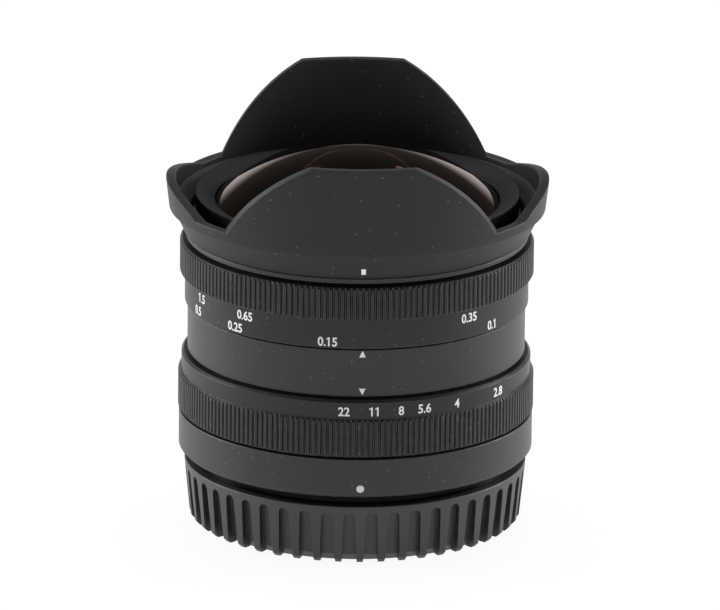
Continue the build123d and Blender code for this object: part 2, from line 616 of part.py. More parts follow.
def main_barrel():
    """Fixed tube that everything turns and slides on, with the index band in its middle."""
    with BuildPart() as barrel:
        revolve(half_section(
            (BORE_R, SEAT_Z), (TUBE_R, SEAT_Z), (TUBE_R, BAND_Z), (BAND_R - BAND_CHAMFER, BAND_Z),
            (BAND_R, BAND_Z + BAND_CHAMFER), (BAND_R, BAND_TOP_Z - BAND_CHAMFER),
            (BAND_R - BAND_CHAMFER, BAND_TOP_Z), (FRONT_TUBE_R, BAND_TOP_Z),
            (FRONT_TUBE_R, FRONT_SHOULDER_Z), (SPIGOT_R, FRONT_SHOULDER_Z),
            (SPIGOT_R, FRONT_SHOULDER_Z + SPIGOT_HEIGHT), (HELICOID_BORE_R, FRONT_SHOULDER_Z + SPIGOT_HEIGHT),
            (HELICOID_BORE_R, HELICOID_SEAT_Z), (BORE_R, HELICOID_SEAT_Z),
        ), axis=Axis.Z)
        key_half = half_angle_of(APERTURE_KEY_WIDTH + 2 * FREE_GAP, BORE_R)
        key_middle = KEY_ANGLE + (OPEN_TURN + CLOSED_TURN) / 2
        key_reach = (CLOSED_TURN - OPEN_TURN) / 2 + key_half
        add(sector(BORE_R - OVERRUN, TUBE_R + OVERRUN, key_middle, key_reach,
                   LEVER_Z - APERTURE_KEY_HEIGHT / 2 - FREE_GAP))
        extrude(amount=APERTURE_KEY_HEIGHT + 2 * FREE_GAP, mode=Mode.SUBTRACT)
        key_half = half_angle_of(FOCUS_KEY_WIDTH + 2 * FREE_GAP, HELICOID_BORE_R)
        key_middle = FOCUS_KEY_ANGLE + (NEAR_END_ANGLE + FAR_END_ANGLE) / 2
        key_reach = (FAR_END_ANGLE - NEAR_END_ANGLE) / 2 + key_half
        add(sector(HELICOID_BORE_R - OVERRUN / 2, FRONT_TUBE_R + OVERRUN, key_middle, key_reach,
                   FOCUS_KEY_Z - FREE_GAP))
        extrude(amount=FOCUS_KEY_HEIGHT + 2 * FREE_GAP, mode=Mode.SUBTRACT)
        with BuildSketch(radial_plane(CLICK_ANGLE, TUBE_R - CLICK_POCKET_DEPTH, CLICK_Z)):
            Circle(BALL_R + BALL_POCKET_GAP)
        extrude(amount=CLICK_POCKET_DEPTH + OVERRUN, mode=Mode.SUBTRACT)
        add(screw_holes(BARREL_SCREW, BARREL_SCREW_PLANES), mode=Mode.SUBTRACT)
        add(screw_holes(GUIDE_SCREW, GUIDE_SCREW_PLANES), mode=Mode.SUBTRACT)
    return barrel.part


def rear_barrel():
    """Rear ring of the barrel: a cup whose web carries the mount and the main barrel."""
    with BuildPart() as barrel:
        revolve(half_section(
            (WEB_BORE_R, WEB_Z), (REAR_RING_R - REAR_CHAMFER, WEB_Z), (REAR_RING_R, WEB_Z + REAR_CHAMFER),
            (REAR_RING_R, REAR_TOP_Z - BAND_CHAMFER), (REAR_RING_R - BAND_CHAMFER, REAR_TOP_Z),
            (TUBE_R + RUN_GAP, REAR_TOP_Z), (TUBE_R + RUN_GAP, SEAT_Z), (WEB_BORE_R, SEAT_Z),
        ), axis=Axis.Z)
        add(shank_holes(MOUNT_SCREW, MOUNT_SCREW_PLANES), mode=Mode.SUBTRACT)
        add(screw_holes(BARREL_SCREW, BARREL_SCREW_PLANES), mode=Mode.SUBTRACT)
        with BuildSketch(radial_plane(INDEX_ANGLE, REAR_RING_R - BEAD_DEPTH, WEB_Z + BEAD_RISE)):
            Circle(BEAD_R)
        extrude(amount=BEAD_DEPTH + OVERRUN, mode=Mode.SUBTRACT)
    return barrel.part


def index_bead():
    """Round bead let into the rear ring, lined up with the camera when the lens goes on."""
    with BuildPart() as bead:
        with BuildSketch(radial_plane(INDEX_ANGLE, REAR_RING_R - BEAD_DEPTH, WEB_Z + BEAD_RISE)):
            Circle(BEAD_R)
        extrude(amount=BEAD_DEPTH + BEAD_PROUD)
        fillet(bead.edges().group_by(Axis.Y)[0], BEAD_PROUD)
    return bead.part


def bayonet_mount():
    """Camera mount: flange, neck, three locking tabs, and a lip that holds the baffle."""
    lip_r = MOUNT_BORE_R - MOUNT_LIP_WIDTH
    lip_z = WEB_Z - MOUNT_LIP_HEIGHT
    with BuildPart() as mount:
        revolve(half_section(
            (MOUNT_BORE_R, NECK_END_Z), (NECK_R, NECK_END_Z), (NECK_R, FLANGE_Z), (TUBE_R, FLANGE_Z),
            (TUBE_R, WEB_Z), (lip_r, WEB_Z), (lip_r, lip_z), (MOUNT_BORE_R, lip_z),
        ), axis=Axis.Z)
        for angle in TAB_ANGLES:
            add(sector(NECK_R - RUN_GAP, TAB_R, angle, TAB_SWEEP / 2, NECK_END_Z))
            extrude(amount=TAB_HEIGHT)
        add(screw_holes(MOUNT_SCREW, MOUNT_SCREW_PLANES), mode=Mode.SUBTRACT)
        add(shank_holes(BAFFLE_SCREW, BAFFLE_SCREW_PLANES), mode=Mode.SUBTRACT)
        with BuildSketch(*upward_planes((LOCK_HOLE_ANGLE,), MOUNT_SCREW_CIRCLE_R, FLANGE_Z)):
            Circle(LOCK_HOLE_R)
        extrude(amount=LOCK_HOLE_DEPTH, mode=Mode.SUBTRACT)
    return mount.part


def rear_baffle():
    """Ring that shades the inside of the mount round the last lens."""
    outer_r = MOUNT_BORE_R - RUN_GAP
    top_z = BAFFLE_Z + BAFFLE_HEIGHT
    with BuildPart() as baffle:
        revolve(half_section(
            (BAFFLE_BORE_R, BAFFLE_Z), (outer_r, BAFFLE_Z), (outer_r, top_z), (BAFFLE_BORE_R, top_z),
        ), axis=Axis.Z)
        add(shank_holes(BAFFLE_SCREW, BAFFLE_SCREW_PLANES), mode=Mode.SUBTRACT)
    return baffle.part


def rear_cap():
    """Bayonet cap on the camera end, ribbed for grip, with three inner lugs behind the tabs."""
    core_top_r = CAP_TOP_R - CAP_SLOT_DEPTH
    core_foot_r = CAP_FOOT_R - CAP_SLOT_DEPTH
    wall_r = core_foot_r - CAP_WALL
    lug_z = TAB_TOP_Z + CAP_LUG_RISE
    with BuildPart() as cap:
        revolve(half_section(
            (core_foot_r - CAP_SLOT_INSET, 0), (CAP_FOOT_R - CAP_TOE_ROUND, 0), (CAP_FOOT_R, CAP_TOE_ROUND),
            (CAP_TOP_R, CAP_HEIGHT - CAP_TOP_BAND), (CAP_TOP_R, CAP_HEIGHT - BAND_CHAMFER),
            (CAP_TOP_R - BAND_CHAMFER, CAP_HEIGHT), (core_top_r - CAP_SLOT_INSET, CAP_HEIGHT),
        ), axis=Axis.Z)
        add(cap_slots(), mode=Mode.SUBTRACT)
        revolve(half_section(
            (0, CAP_RECESS_DEPTH), (CAP_RECESS_R, CAP_RECESS_DEPTH), (CAP_RECESS_R, 0),
            (core_foot_r - CAP_BEVEL_REACH, 0), (core_foot_r, CAP_BEVEL_HEIGHT),
            (core_top_r, CAP_HEIGHT - CAP_TOP_BAND), (core_top_r, CAP_HEIGHT), (wall_r, CAP_HEIGHT),
            (wall_r, CAP_FLOOR), (0, CAP_FLOOR),
        ), axis=Axis.Z)
        for angle in TAB_ANGLES:
            add(sector(NECK_R + CAP_LUG_GAP, wall_r + RUN_GAP, angle, CAP_LUG_SWEEP / 2, lug_z))
            extrude(amount=CAP_LUG_HEIGHT)
    return cap.part


def cap_slots():
    """Cutter for the slots between the ribs of the cap: open below, narrower and round above."""
    start_r = CAP_FOOT_R - CAP_SLOT_DEPTH - CAP_WALL
    foot_half = CAP_SLOT_WIDTH / 2
    top_half = CAP_SLOT_TOP_WIDTH / 2
    end_z = CAP_HEIGHT - CAP_SLOT_MARGIN - top_half
    with BuildPart() as slots:
        for index in range(CAP_RIB_COUNT):
            angle = CAP_RIB_START + index * 360 / CAP_RIB_COUNT
            with BuildSketch(radial_plane(angle, start_r, 0)):
                with BuildLine():
                    Polyline(
                        (-foot_half, -OVERRUN), (foot_half, -OVERRUN), (foot_half, 0), (top_half, end_z),
                        (-top_half, end_z), (-foot_half, 0), close=True,
                    )
                make_face()
                with Locations((0, end_z)):
                    Circle(top_half)
        extrude(amount=CAP_TOP_R + OVERRUN - start_r)
    return slots.part


def front_collar():
    """Ring screwed on the front of the barrel: a narrow strip and a tube with hood lugs."""
    base_z = FRONT_SHOULDER_Z + SPIGOT_HEIGHT + GLASS_GAP
    tube_top_z = COLLAR_TOP_Z + COLLAR_TUBE_HEIGHT
    lug_z = HOOD_Z + HOOD_LUG_HEIGHT + 2 * SIDE_GAP
    with BuildPart() as collar:
        revolve(half_section(
            (SPIGOT_R, FRONT_SHOULDER_Z), (FRONT_TUBE_R, FRONT_SHOULDER_Z), (COLLAR_TUBE_R, COLLAR_Z),
            (COLLAR_STRIP_R - BAND_CHAMFER, COLLAR_Z), (COLLAR_STRIP_R, COLLAR_Z + BAND_CHAMFER),
            (COLLAR_STRIP_R, COLLAR_TOP_Z - BAND_CHAMFER), (COLLAR_STRIP_R - BAND_CHAMFER, COLLAR_TOP_Z),
            (COLLAR_TUBE_R, COLLAR_TOP_Z), (COLLAR_TUBE_R, tube_top_z), (COLLAR_BORE_R, tube_top_z),
            (COLLAR_BORE_R, base_z), (SPIGOT_R, base_z),
        ), axis=Axis.Z)
        for angle in HOOD_LUG_ANGLES:
            add(sector(
                COLLAR_TUBE_R - RUN_GAP, COLLAR_TUBE_R + HOOD_LUG_REACH, angle, HOOD_LUG_SWEEP / 2, lug_z,
            ))
            extrude(amount=HOOD_LUG_HEIGHT)
    return collar.part


def hood_shell():
    """Flared shell of the hood before its rim is cut to petals."""
    shoulder_r = HOOD_FOOT_R + HOOD_FLARE
    shoulder_z = HOOD_Z + HOOD_FLARE_HEIGHT
    cone_r = shoulder_r + HOOD_LIP
    cone_z = shoulder_z + HOOD_LIP_RISE
    top_z = HOOD_TOP_Z + OVERRUN
    top_r = cone_r + (top_z - cone_z) * tan(radians(HOOD_LEAN_ANGLE))
    bowl_z = HOOD_Z + HOOD_BOWL_HEIGHT
    bowl_r = cone_r + (bowl_z - cone_z) * tan(radians(HOOD_LEAN_ANGLE)) - HOOD_WALL
    groove_r = HOOD_BORE_R + HOOD_GROOVE_STEP
    groove_z = HOOD_Z + HOOD_GROOVE_HEIGHT
    flare_middle = (HOOD_FOOT_R + HOOD_FLARE_MID, HOOD_Z + HOOD_FLARE_MID_HEIGHT)
    with BuildPart() as shell:
        with BuildSketch(Plane.XZ):
            with BuildLine():
                ThreePointArc((HOOD_FOOT_R, HOOD_Z), flare_middle, (shoulder_r, shoulder_z))
                Polyline(
                    (shoulder_r, shoulder_z), (cone_r, cone_z), (top_r, top_z), (top_r - HOOD_WALL, top_z),
                    (bowl_r, bowl_z), (groove_r, groove_z), (HOOD_BORE_R, groove_z - HOOD_GROOVE_STEP),
                    (HOOD_BORE_R, HOOD_Z), (HOOD_FOOT_R, HOOD_Z),
                )
            make_face()
        revolve(axis=Axis.Z)
    return shell.part


def beside_long_petal(plane, rim_z, top_z):
    """Outline of what is cut beside and above a long petal."""
    reach = 2 * HOOD_FOOT_R
    ceiling = HOOD_TOP_Z + 2 * OVERRUN
    with BuildSketch(plane) as outline:
        with BuildLine():
            ThreePointArc(
                (LONG_PETAL_TOP_HALF, top_z),
                (LONG_PETAL_MID_HALF, top_z - LONG_PETAL_MID_DROP),
                (LONG_PETAL_FOOT_HALF, rim_z),
            )
            Polyline(
                (LONG_PETAL_FOOT_HALF, rim_z), (reach, rim_z), (reach, ceiling), (0, ceiling), (0, top_z),
                (LONG_PETAL_TOP_HALF, top_z),
            )
        make_face()
        mirror(about=Plane.YZ)
    return outline.sketch


def above_short_petals():
    """Outline of what is cut above the short petals, which end higher behind than in front."""
    ceiling = HOOD_TOP_Z + 2 * OVERRUN
    crown_z = HOOD_RIM_Z + SHORT_PETAL_RISE
    turn_z = crown_z - sagitta(SHORT_PETAL_CROWN_R, SHORT_PETAL_CROWN_HALF)
    slope = SHORT_PETAL_CROWN_HALF / sqrt(SHORT_PETAL_CROWN_R ** 2 - SHORT_PETAL_CROWN_HALF ** 2)
    front_turn = (-SHORT_PETAL_CROWN_HALF, turn_z)
    back_turn = (SHORT_PETAL_CROWN_HALF, turn_z)
    front_foot = (-SHORT_PETAL_HALF, HOOD_RIM_Z)
    back_foot = (SHORT_PETAL_HALF, HOOD_RIM_Z + BACK_RIM_RISE)
    with BuildSketch(Plane.YZ.offset(-2 * HOOD_FOOT_R)) as outline:
        with BuildLine():
            TangentArc(front_turn, front_foot, tangent=(-1, -slope))
            ThreePointArc(front_turn, (0, crown_z), back_turn)
            TangentArc(back_turn, back_foot, tangent=(1, -slope))
            Polyline(back_foot, (SHORT_PETAL_HALF, ceiling), (-SHORT_PETAL_HALF, ceiling), front_foot)
        make_face()
    return outline.sketch


def lens_hood():
    """Petal hood held by three inner lugs under the lugs of the collar."""
    reach = 2 * HOOD_FOOT_R
    back_rim_z = HOOD_RIM_Z + BACK_RIM_RISE
    back_top_z = HOOD_TOP_Z + BACK_PETAL_RISE
    with BuildPart() as hood:
        add(hood_shell())
        front = beside_long_petal(Plane.XZ.offset(SHORT_PETAL_HALF), HOOD_RIM_Z, HOOD_TOP_Z)
        extrude(front, amount=reach, dir=(0, -1, 0), mode=Mode.SUBTRACT)
        back = beside_long_petal(Plane.XZ.offset(-SHORT_PETAL_HALF), back_rim_z, back_top_z)
        extrude(back, amount=reach, dir=(0, 1, 0), mode=Mode.SUBTRACT)
        extrude(above_short_petals(), amount=2 * reach, dir=(1, 0, 0), mode=Mode.SUBTRACT)
        for angle in HOOD_LUG_ANGLES:
            add(sector(COLLAR_TUBE_R + SIDE_GAP, HOOD_BORE_R + RUN_GAP, angle, HOOD_LUG_SWEEP / 2, HOOD_Z))
            extrude(amount=HOOD_LUG_HEIGHT)
    return hood.part


def aperture_ring():
    """Diaphragm ring: knurled skirt, band for the numbers, click groove and a pocket for its key."""
    groove_half = BALL_R + SIDE_GAP
    groove_r = APERTURE_BORE_R + BALL_GROOVE_DEPTH
    with BuildPart() as ring:
        add(bevelled_knurl(
            APERTURE_KNURL_R, APERTURE_BORE_R, APERTURE_Z, APERTURE_BAND_Z, APERTURE_RIDGE_COUNT,
        ))
        revolve(half_section(
            (APERTURE_BORE_R, APERTURE_BAND_Z), (APERTURE_BAND_R, APERTURE_BAND_Z),
            (APERTURE_BAND_R, APERTURE_TOP_Z - EDGE_CHAMFER),
            (APERTURE_BAND_R - EDGE_CHAMFER, APERTURE_TOP_Z), (APERTURE_BORE_R, APERTURE_TOP_Z),
        ), axis=Axis.Z)
        revolve(half_section(
            (APERTURE_BORE_R - RUN_GAP, CLICK_Z - groove_half), (groove_r, CLICK_Z - groove_half),
            (groove_r, CLICK_Z + groove_half), (APERTURE_BORE_R - RUN_GAP, CLICK_Z + groove_half),
        ), axis=Axis.Z, mode=Mode.SUBTRACT)
        for angle in STOP_ANGLES:
            with Locations(radial_plane(CLICK_ANGLE + angle, TUBE_R - BALL_POCKET_GAP, CLICK_Z)):
                Sphere(BALL_R + BALL_POCKET_GAP, mode=Mode.SUBTRACT)
        with BuildSketch(Plane.XY.offset(APERTURE_KEY_Z - SIDE_GAP)):
            with Locations((0, APERTURE_KEY_TOP_Y / 2)):
                Rectangle(APERTURE_KEY_WIDTH + RUN_GAP, APERTURE_KEY_TOP_Y + RUN_GAP)
        extrude(amount=APERTURE_KEY_HEIGHT + 2 * SIDE_GAP, mode=Mode.SUBTRACT)
        add(shank_holes(APERTURE_KEY_SCREW, APERTURE_SCREW_PLANES), mode=Mode.SUBTRACT)
    return ring.part


def aperture_key():
    """Block screwed in the ring that reaches through the barrel and forks over the lever."""
    depth = APERTURE_KEY_TOP_Y - APERTURE_KEY_FOOT_Y
    with BuildPart() as key:
        with BuildSketch(Plane.XY.offset(APERTURE_KEY_Z)):
            with Locations((0, APERTURE_KEY_FOOT_Y + depth / 2)):
                Rectangle(APERTURE_KEY_WIDTH, depth)
            with Locations((0, APERTURE_KEY_FOOT_Y)):
                Rectangle(LEVER_WIDTH + 2 * SIDE_GAP, 2 * APERTURE_FORK_DEPTH, mode=Mode.SUBTRACT)
        extrude(amount=APERTURE_KEY_HEIGHT)
        add(screw_holes(APERTURE_KEY_SCREW, APERTURE_SCREW_PLANES), mode=Mode.SUBTRACT)
    return key.part


def click_ball():
    """Steel ball of the click stop, pressed in below the notches."""
    with BuildPart() as ball:
        with Locations(radial_plane(CLICK_ANGLE, TUBE_R - BALL_POCKET_GAP - BALL_TRAVEL, CLICK_Z)):
            Sphere(BALL_R)
    return ball.part


def click_spring():
    """Spring behind the ball, drawn as the sleeve that its coils fill."""
    length = CLICK_POCKET_DEPTH - BALL_POCKET_GAP - BALL_TRAVEL - BALL_R
    with BuildPart() as spring:
        with BuildSketch(radial_plane(CLICK_ANGLE, TUBE_R - CLICK_POCKET_DEPTH, CLICK_Z)):
            Circle(BALL_R - BALL_POCKET_GAP)
            Circle(BALL_R - BALL_POCKET_GAP - CLICK_SPRING_WALL, mode=Mode.SUBTRACT)
        extrude(amount=length)
    return spring.part


def focus_ring():
    """Focus ring: band for the distances, knurled grip, and a keyway open at the rear."""
    key_half = half_angle_of(FOCUS_KEY_WIDTH + 2 * RUN_GAP, FOCUS_BORE_R)
    with BuildPart() as ring:
        add(bevelled_knurl(FOCUS_KNURL_R, FOCUS_BORE_R, FOCUS_KNURL_Z, FOCUS_TOP_Z, FOCUS_RIDGE_COUNT))
        revolve(half_section(
            (FOCUS_BORE_R, FOCUS_Z), (FOCUS_BAND_R - BAND_CHAMFER, FOCUS_Z),
            (FOCUS_BAND_R, FOCUS_Z + BAND_CHAMFER), (FOCUS_BAND_R, FOCUS_KNURL_Z),
            (FOCUS_BORE_R, FOCUS_KNURL_Z),
        ), axis=Axis.Z)
        add(sector(FOCUS_BORE_R - RUN_GAP, FOCUS_KEY_TOP_R + RUN_GAP, FOCUS_KEY_ANGLE, key_half, FOCUS_Z))
        extrude(amount=FOCUS_KEY_RISE + FOCUS_KEY_HEIGHT + RUN_GAP, mode=Mode.SUBTRACT)
    return ring.part


def helicoid_ring():
    """Threaded ring inside the barrel that the focus key turns; its thread carries the optics."""
    key_half = half_angle_of(FOCUS_KEY_WIDTH, FOCUS_BORE_R)
    outer_r = HELICOID_BORE_R - RUN_GAP
    inner_r = SLEEVE_R + RUN_GAP
    bottom_z = HELICOID_SEAT_Z + RUN_GAP
    top_z = RETAINER_Z - RUN_GAP
    with BuildPart() as ring:
        revolve(half_section((inner_r, bottom_z), (outer_r, bottom_z), (outer_r, top_z), (inner_r, top_z)),
                axis=Axis.Z)
        add(sector(FOCUS_KEY_R, outer_r + OVERRUN, FOCUS_KEY_ANGLE, key_half, FOCUS_KEY_Z))
        extrude(amount=FOCUS_KEY_HEIGHT, mode=Mode.SUBTRACT)
        add(shank_holes(FOCUS_KEY_SCREW, FOCUS_SCREW_PLANES), mode=Mode.SUBTRACT)
    return ring.part


def focus_key():
    """Key between the focus ring and the helicoid ring, through the slot of the barrel."""
    key_half = half_angle_of(FOCUS_KEY_WIDTH, FOCUS_BORE_R)
    with BuildPart() as key:
        add(sector(FOCUS_KEY_R, FOCUS_KEY_TOP_R, FOCUS_KEY_ANGLE, key_half, FOCUS_KEY_Z))
        extrude(amount=FOCUS_KEY_HEIGHT)
        add(screw_holes(FOCUS_KEY_SCREW, FOCUS_SCREW_PLANES), mode=Mode.SUBTRACT)
    return key.part


def helicoid_retainer():
    """Threaded ring in the front of the barrel that keeps the helicoid ring in."""
    inner_r = SLEEVE_R + FREE_GAP
    return turned(
        (inner_r, RETAINER_Z), (HELICOID_BORE_R, RETAINER_Z), (HELICOID_BORE_R, FRONT_SHOULDER_Z),
        (inner_r, FRONT_SHOULDER_Z),
    )


def guide_keys():
    """Two keys in the barrel that let the optics slide and keep them from turning."""
    half = half_angle_of(GUIDE_KEY_WIDTH, BORE_R)
    with BuildPart() as keys:
        for angle in GUIDE_KEY_ANGLES:
            add(sector(GUIDE_KEY_R, BORE_R, angle, half, GUIDE_KEY_Z))
            extrude(amount=GUIDE_KEY_DROP + GUIDE_KEY_RISE)
        add(shank_holes(GUIDE_SCREW, GUIDE_SCREW_PLANES), mode=Mode.SUBTRACT)
    return keys.part


def optics_barrel():
    """Moving barrel: sleeve in the helicoid, cell of the front lens, tube of the small lenses."""
    glass_tube_r = SECOND_EDGE_R + GLASS_GAP + GLASS_TUBE_WALL
    sleeve_bore_r = SLEEVE_R - SLEEVE_WALL
    web_z = DOME_SEAT_Z - CELL_WEB
    step_z = IRIS_Z + IRIS_TUBE_WALL
    ring_seat_z = SECOND_RING_Z - GLASS_GAP
    key_half = half_angle_of(GUIDE_KEY_WIDTH, BORE_R) + half_angle_of(2 * SIDE_GAP, SLEEVE_R)
    key_top_z = BAND_Z + GUIDE_KEY_RISE + FAR_TRAVEL + FREE_GAP
    lever_middle = KEY_ANGLE + (OPEN_TURN + CLOSED_TURN) / 2
    lever_reach = (CLOSED_TURN - OPEN_TURN) / 2 + half_angle_of(LEVER_WIDTH + 2 * FREE_GAP, IRIS_BORE_R)
    with BuildPart() as barrel:
        revolve(half_section(
            (DOME_EDGE_R + GLASS_GAP, CELL_TOP_Z), (DOME_EDGE_R + GLASS_GAP, DOME_SEAT_Z),
            (SECOND_RING_R, DOME_SEAT_Z), (SECOND_RING_R, ring_seat_z),
            (SECOND_EDGE_R + GLASS_GAP, ring_seat_z), (SECOND_EDGE_R + GLASS_GAP, SECOND_SEAT_Z),
            (THIRD_EDGE_R + GLASS_GAP, SECOND_SEAT_Z), (THIRD_EDGE_R + GLASS_GAP, THIRD_SEAT_Z),
            (FOURTH_EDGE_R + GLASS_GAP, THIRD_SEAT_Z), (FOURTH_EDGE_R + GLASS_GAP, FRONT_LEDGE_Z),
            (FRONT_LEDGE_R, FRONT_LEDGE_Z), (FRONT_LEDGE_R, IRIS_Z), (IRIS_BORE_R, IRIS_Z),
            (IRIS_BORE_R, IRIS_TUBE_Z), (IRIS_TUBE_R, IRIS_TUBE_Z), (IRIS_TUBE_R, step_z),
            (glass_tube_r, step_z), (glass_tube_r, web_z), (sleeve_bore_r, web_z),
            (sleeve_bore_r, SLEEVE_END_Z), (SLEEVE_R, SLEEVE_END_Z), (SLEEVE_R, CELL_Z),
            (CELL_R, CELL_Z), (CELL_R, CELL_TOP_Z),
        ), axis=Axis.Z)
        for angle in GUIDE_KEY_ANGLES:
            add(sector(GUIDE_KEY_R - FREE_GAP, SLEEVE_R + FREE_GAP, angle, key_half, SLEEVE_END_Z - OVERRUN))
            extrude(amount=key_top_z - SLEEVE_END_Z + OVERRUN, mode=Mode.SUBTRACT)
        lever_z = DRIVE_Z - FREE_GAP
        add(sector(IRIS_BORE_R - OVERRUN, IRIS_TUBE_R + OVERRUN, lever_middle, lever_reach, lever_z))
        extrude(amount=DRIVE_RING_THICKNESS + 2 * FREE_GAP, mode=Mode.SUBTRACT)
    return barrel.part


def front_retaining_ring():
    """Dark ring round the front lens, sloping in to the glass."""
    top_z = CELL_TOP_Z + FRONT_RING_HEIGHT
    skirt_z = CELL_TOP_Z - FRONT_RING_SKIRT
    return turned(
        (DOME_CLEAR_R, CELL_TOP_Z), (CELL_R + RUN_GAP, CELL_TOP_Z), (CELL_R + RUN_GAP, skirt_z),
        (FRONT_RING_R, skirt_z), (FRONT_RING_R, top_z - BAND_CHAMFER), (FRONT_RING_R - BAND_CHAMFER, top_z),
        (DOME_CLEAR_R, CELL_TOP_Z + FRONT_RING_LIP),
    )


def plain_ring(inner_r, outer_r, bottom_z, top_z):
    """Plain ring, as the spacers and small retaining rings are."""
    return turned((inner_r, bottom_z), (outer_r, bottom_z), (outer_r, top_z), (inner_r, top_z))


def rear_lens_cell():
    """Cell of the rear lenses, screwed in behind the diaphragm."""
    outer_r = LAST_EDGE_R + GLASS_GAP + REAR_CELL_WALL
    flange_z = IRIS_TUBE_Z - REAR_CELL_FLANGE
    return turned(
        (REAR_BORE_R, REAR_CELL_TOP_Z), (IRIS_BORE_R - RUN_GAP, REAR_CELL_TOP_Z),
        (IRIS_BORE_R - RUN_GAP, IRIS_TUBE_Z), (IRIS_TUBE_R, IRIS_TUBE_Z), (IRIS_TUBE_R, flange_z),
        (outer_r, flange_z), (outer_r, REAR_CELL_END_Z), (LAST_EDGE_R + GLASS_GAP, REAR_CELL_END_Z),
        (LAST_EDGE_R + GLASS_GAP, LAST_SEAT_Z), (REAR_LEDGE_R, LAST_SEAT_Z), (REAR_LEDGE_R, REAR_LEDGE_Z),
        (REAR_BORE_R, REAR_LEDGE_Z),
    )


def iris_base_plate():
    """Plate in front of the blades, with the holes their pivots turn in."""
    with BuildPart() as plate:
        with BuildSketch(Plane.XY.offset(PLATE_Z)):
            Circle(IRIS_BORE_R - RUN_GAP)
            Circle(BASE_PLATE_BORE_R, mode=Mode.SUBTRACT)
            with PolarLocations(PIVOT_CIRCLE_R, BLADE_COUNT):
                Circle(PIVOT_PIN_R + RUN_GAP, mode=Mode.SUBTRACT)
        extrude(amount=BASE_PLATE_THICKNESS)
    return plate.part


def iris_blade(index):
    """One crescent blade with a pivot pin in front and a drive pin behind, as closed as it stands."""
    pivot_angle = index * 360 / BLADE_COUNT
    turn = pivot_angle - OPEN_TURN * BLADE_RATIO
    level_z = PLATE_Z - BLADE_GAP - BLADE_THICKNESS - index * BLADE_STEP
    pivot = (PIVOT_CIRCLE_R * cos(radians(pivot_angle)), PIVOT_CIRCLE_R * sin(radians(pivot_angle)), level_z)
    plane = Plane(origin=pivot, x_dir=(cos(radians(turn)), sin(radians(turn)), 0), z_dir=(0, 0, 1))
    centre = (-PIVOT_CIRCLE_R, 0)
    start = BLADE_MIDDLE_ANGLE - BLADE_HALF_ANGLE
    pin_x = DRIVE_CIRCLE_R * cos(radians(DRIVE_PIN_ANGLE)) - PIVOT_CIRCLE_R
    pin_y = DRIVE_CIRCLE_R * sin(radians(DRIVE_PIN_ANGLE))
    with BuildPart() as blade:
        with BuildSketch(plane):
            with BuildLine():
                inner = CenterArc(centre, BLADE_INNER_R, start, 2 * BLADE_HALF_ANGLE)
                outer = CenterArc(centre, BLADE_OUTER_R, start, 2 * BLADE_HALF_ANGLE)
                Line(inner @ 0, outer @ 0)
                Line(inner @ 1, outer @ 1)
            make_face()
            with BuildLine():
                root = CenterArc(centre, BLADE_OUTER_R - PIVOT_PIN_R, 0, DRIVE_PIN_ANGLE)
                crest = CenterArc(centre, DRIVE_CIRCLE_R, 0, DRIVE_PIN_ANGLE)
                Line(root @ 0, crest @ 0)
                Line(root @ 1, crest @ 1)
            make_face()
            Circle(PIVOT_PIN_R + EAR_MARGIN)
            with Locations((pin_x, pin_y)):
                Circle(DRIVE_PIN_R + EAR_MARGIN)
        extrude(amount=BLADE_THICKNESS)
        with BuildSketch(plane):
            Circle(PIVOT_PIN_R)
        extrude(amount=IRIS_Z - PIN_END_GAP - level_z)
        with BuildSketch(plane.offset(BLADE_THICKNESS)):
            with Locations((pin_x, pin_y)):
                Circle(DRIVE_PIN_R)
        extrude(amount=-(level_z + BLADE_THICKNESS - DRIVE_Z - PIN_END_GAP))
    return blade.part


def drive_pin_place(turn, index):
    """Where the drive pin of a blade is on the drive ring when the ring has turned."""
    pivot_angle = radians(index * 360 / BLADE_COUNT)
    swing = radians(BLADE_RATIO * (turn - OPEN_TURN)) + pivot_angle
    pin_x = DRIVE_CIRCLE_R * cos(radians(DRIVE_PIN_ANGLE)) - PIVOT_CIRCLE_R
    pin_y = DRIVE_CIRCLE_R * sin(radians(DRIVE_PIN_ANGLE))
    x = PIVOT_CIRCLE_R * cos(pivot_angle) + pin_x * cos(swing) - pin_y * sin(swing)
    y = PIVOT_CIRCLE_R * sin(pivot_angle) + pin_x * sin(swing) + pin_y * cos(swing)
    back = radians(-turn)
    return x * cos(back) - y * sin(back), x * sin(back) + y * cos(back)


def iris_drive_ring():
    """Ring behind the blades that swings them by slots, with a lever out through the barrel."""
    outer_r = IRIS_BORE_R - RUN_GAP
    lever_start_y = outer_r - LEVER_ROOT
    lever_end_y = BORE_R - LEVER_END_GAP
    turns = (OPEN_TURN - SLOT_END_ANGLE, (OPEN_TURN + CLOSED_TURN) / 2, CLOSED_TURN + SLOT_END_ANGLE)
    with BuildPart() as ring:
        with BuildSketch(Plane.XY.offset(DRIVE_Z)):
            Circle(outer_r)
            Circle(outer_r - DRIVE_RING_WIDTH, mode=Mode.SUBTRACT)
            with Locations((0, (lever_start_y + lever_end_y) / 2)):
                Rectangle(LEVER_WIDTH, lever_end_y - lever_start_y)
            for index in range(BLADE_COUNT):
                with BuildLine(mode=Mode.PRIVATE) as path:
                    ThreePointArc(*[drive_pin_place(turn, index) for turn in turns])
                SlotArc(path.line.edge(), 2 * (DRIVE_PIN_R + DRIVE_SLOT_GAP), mode=Mode.SUBTRACT)
        extrude(amount=DRIVE_RING_THICKNESS)
    return ring.part


def iris_clip():
    """Open spring clip that keeps the drive ring in its bore."""
    outer_r = IRIS_BORE_R - RUN_GAP
    return_half = 180 - CLIP_OPEN_HALF_ANGLE
    with BuildPart() as clip:
        add(sector(outer_r - IRIS_CLIP_WIDTH, outer_r, INDEX_ANGLE + 180, return_half, CLIP_Z))
        extrude(amount=IRIS_CLIP_THICKNESS)
    return clip.part


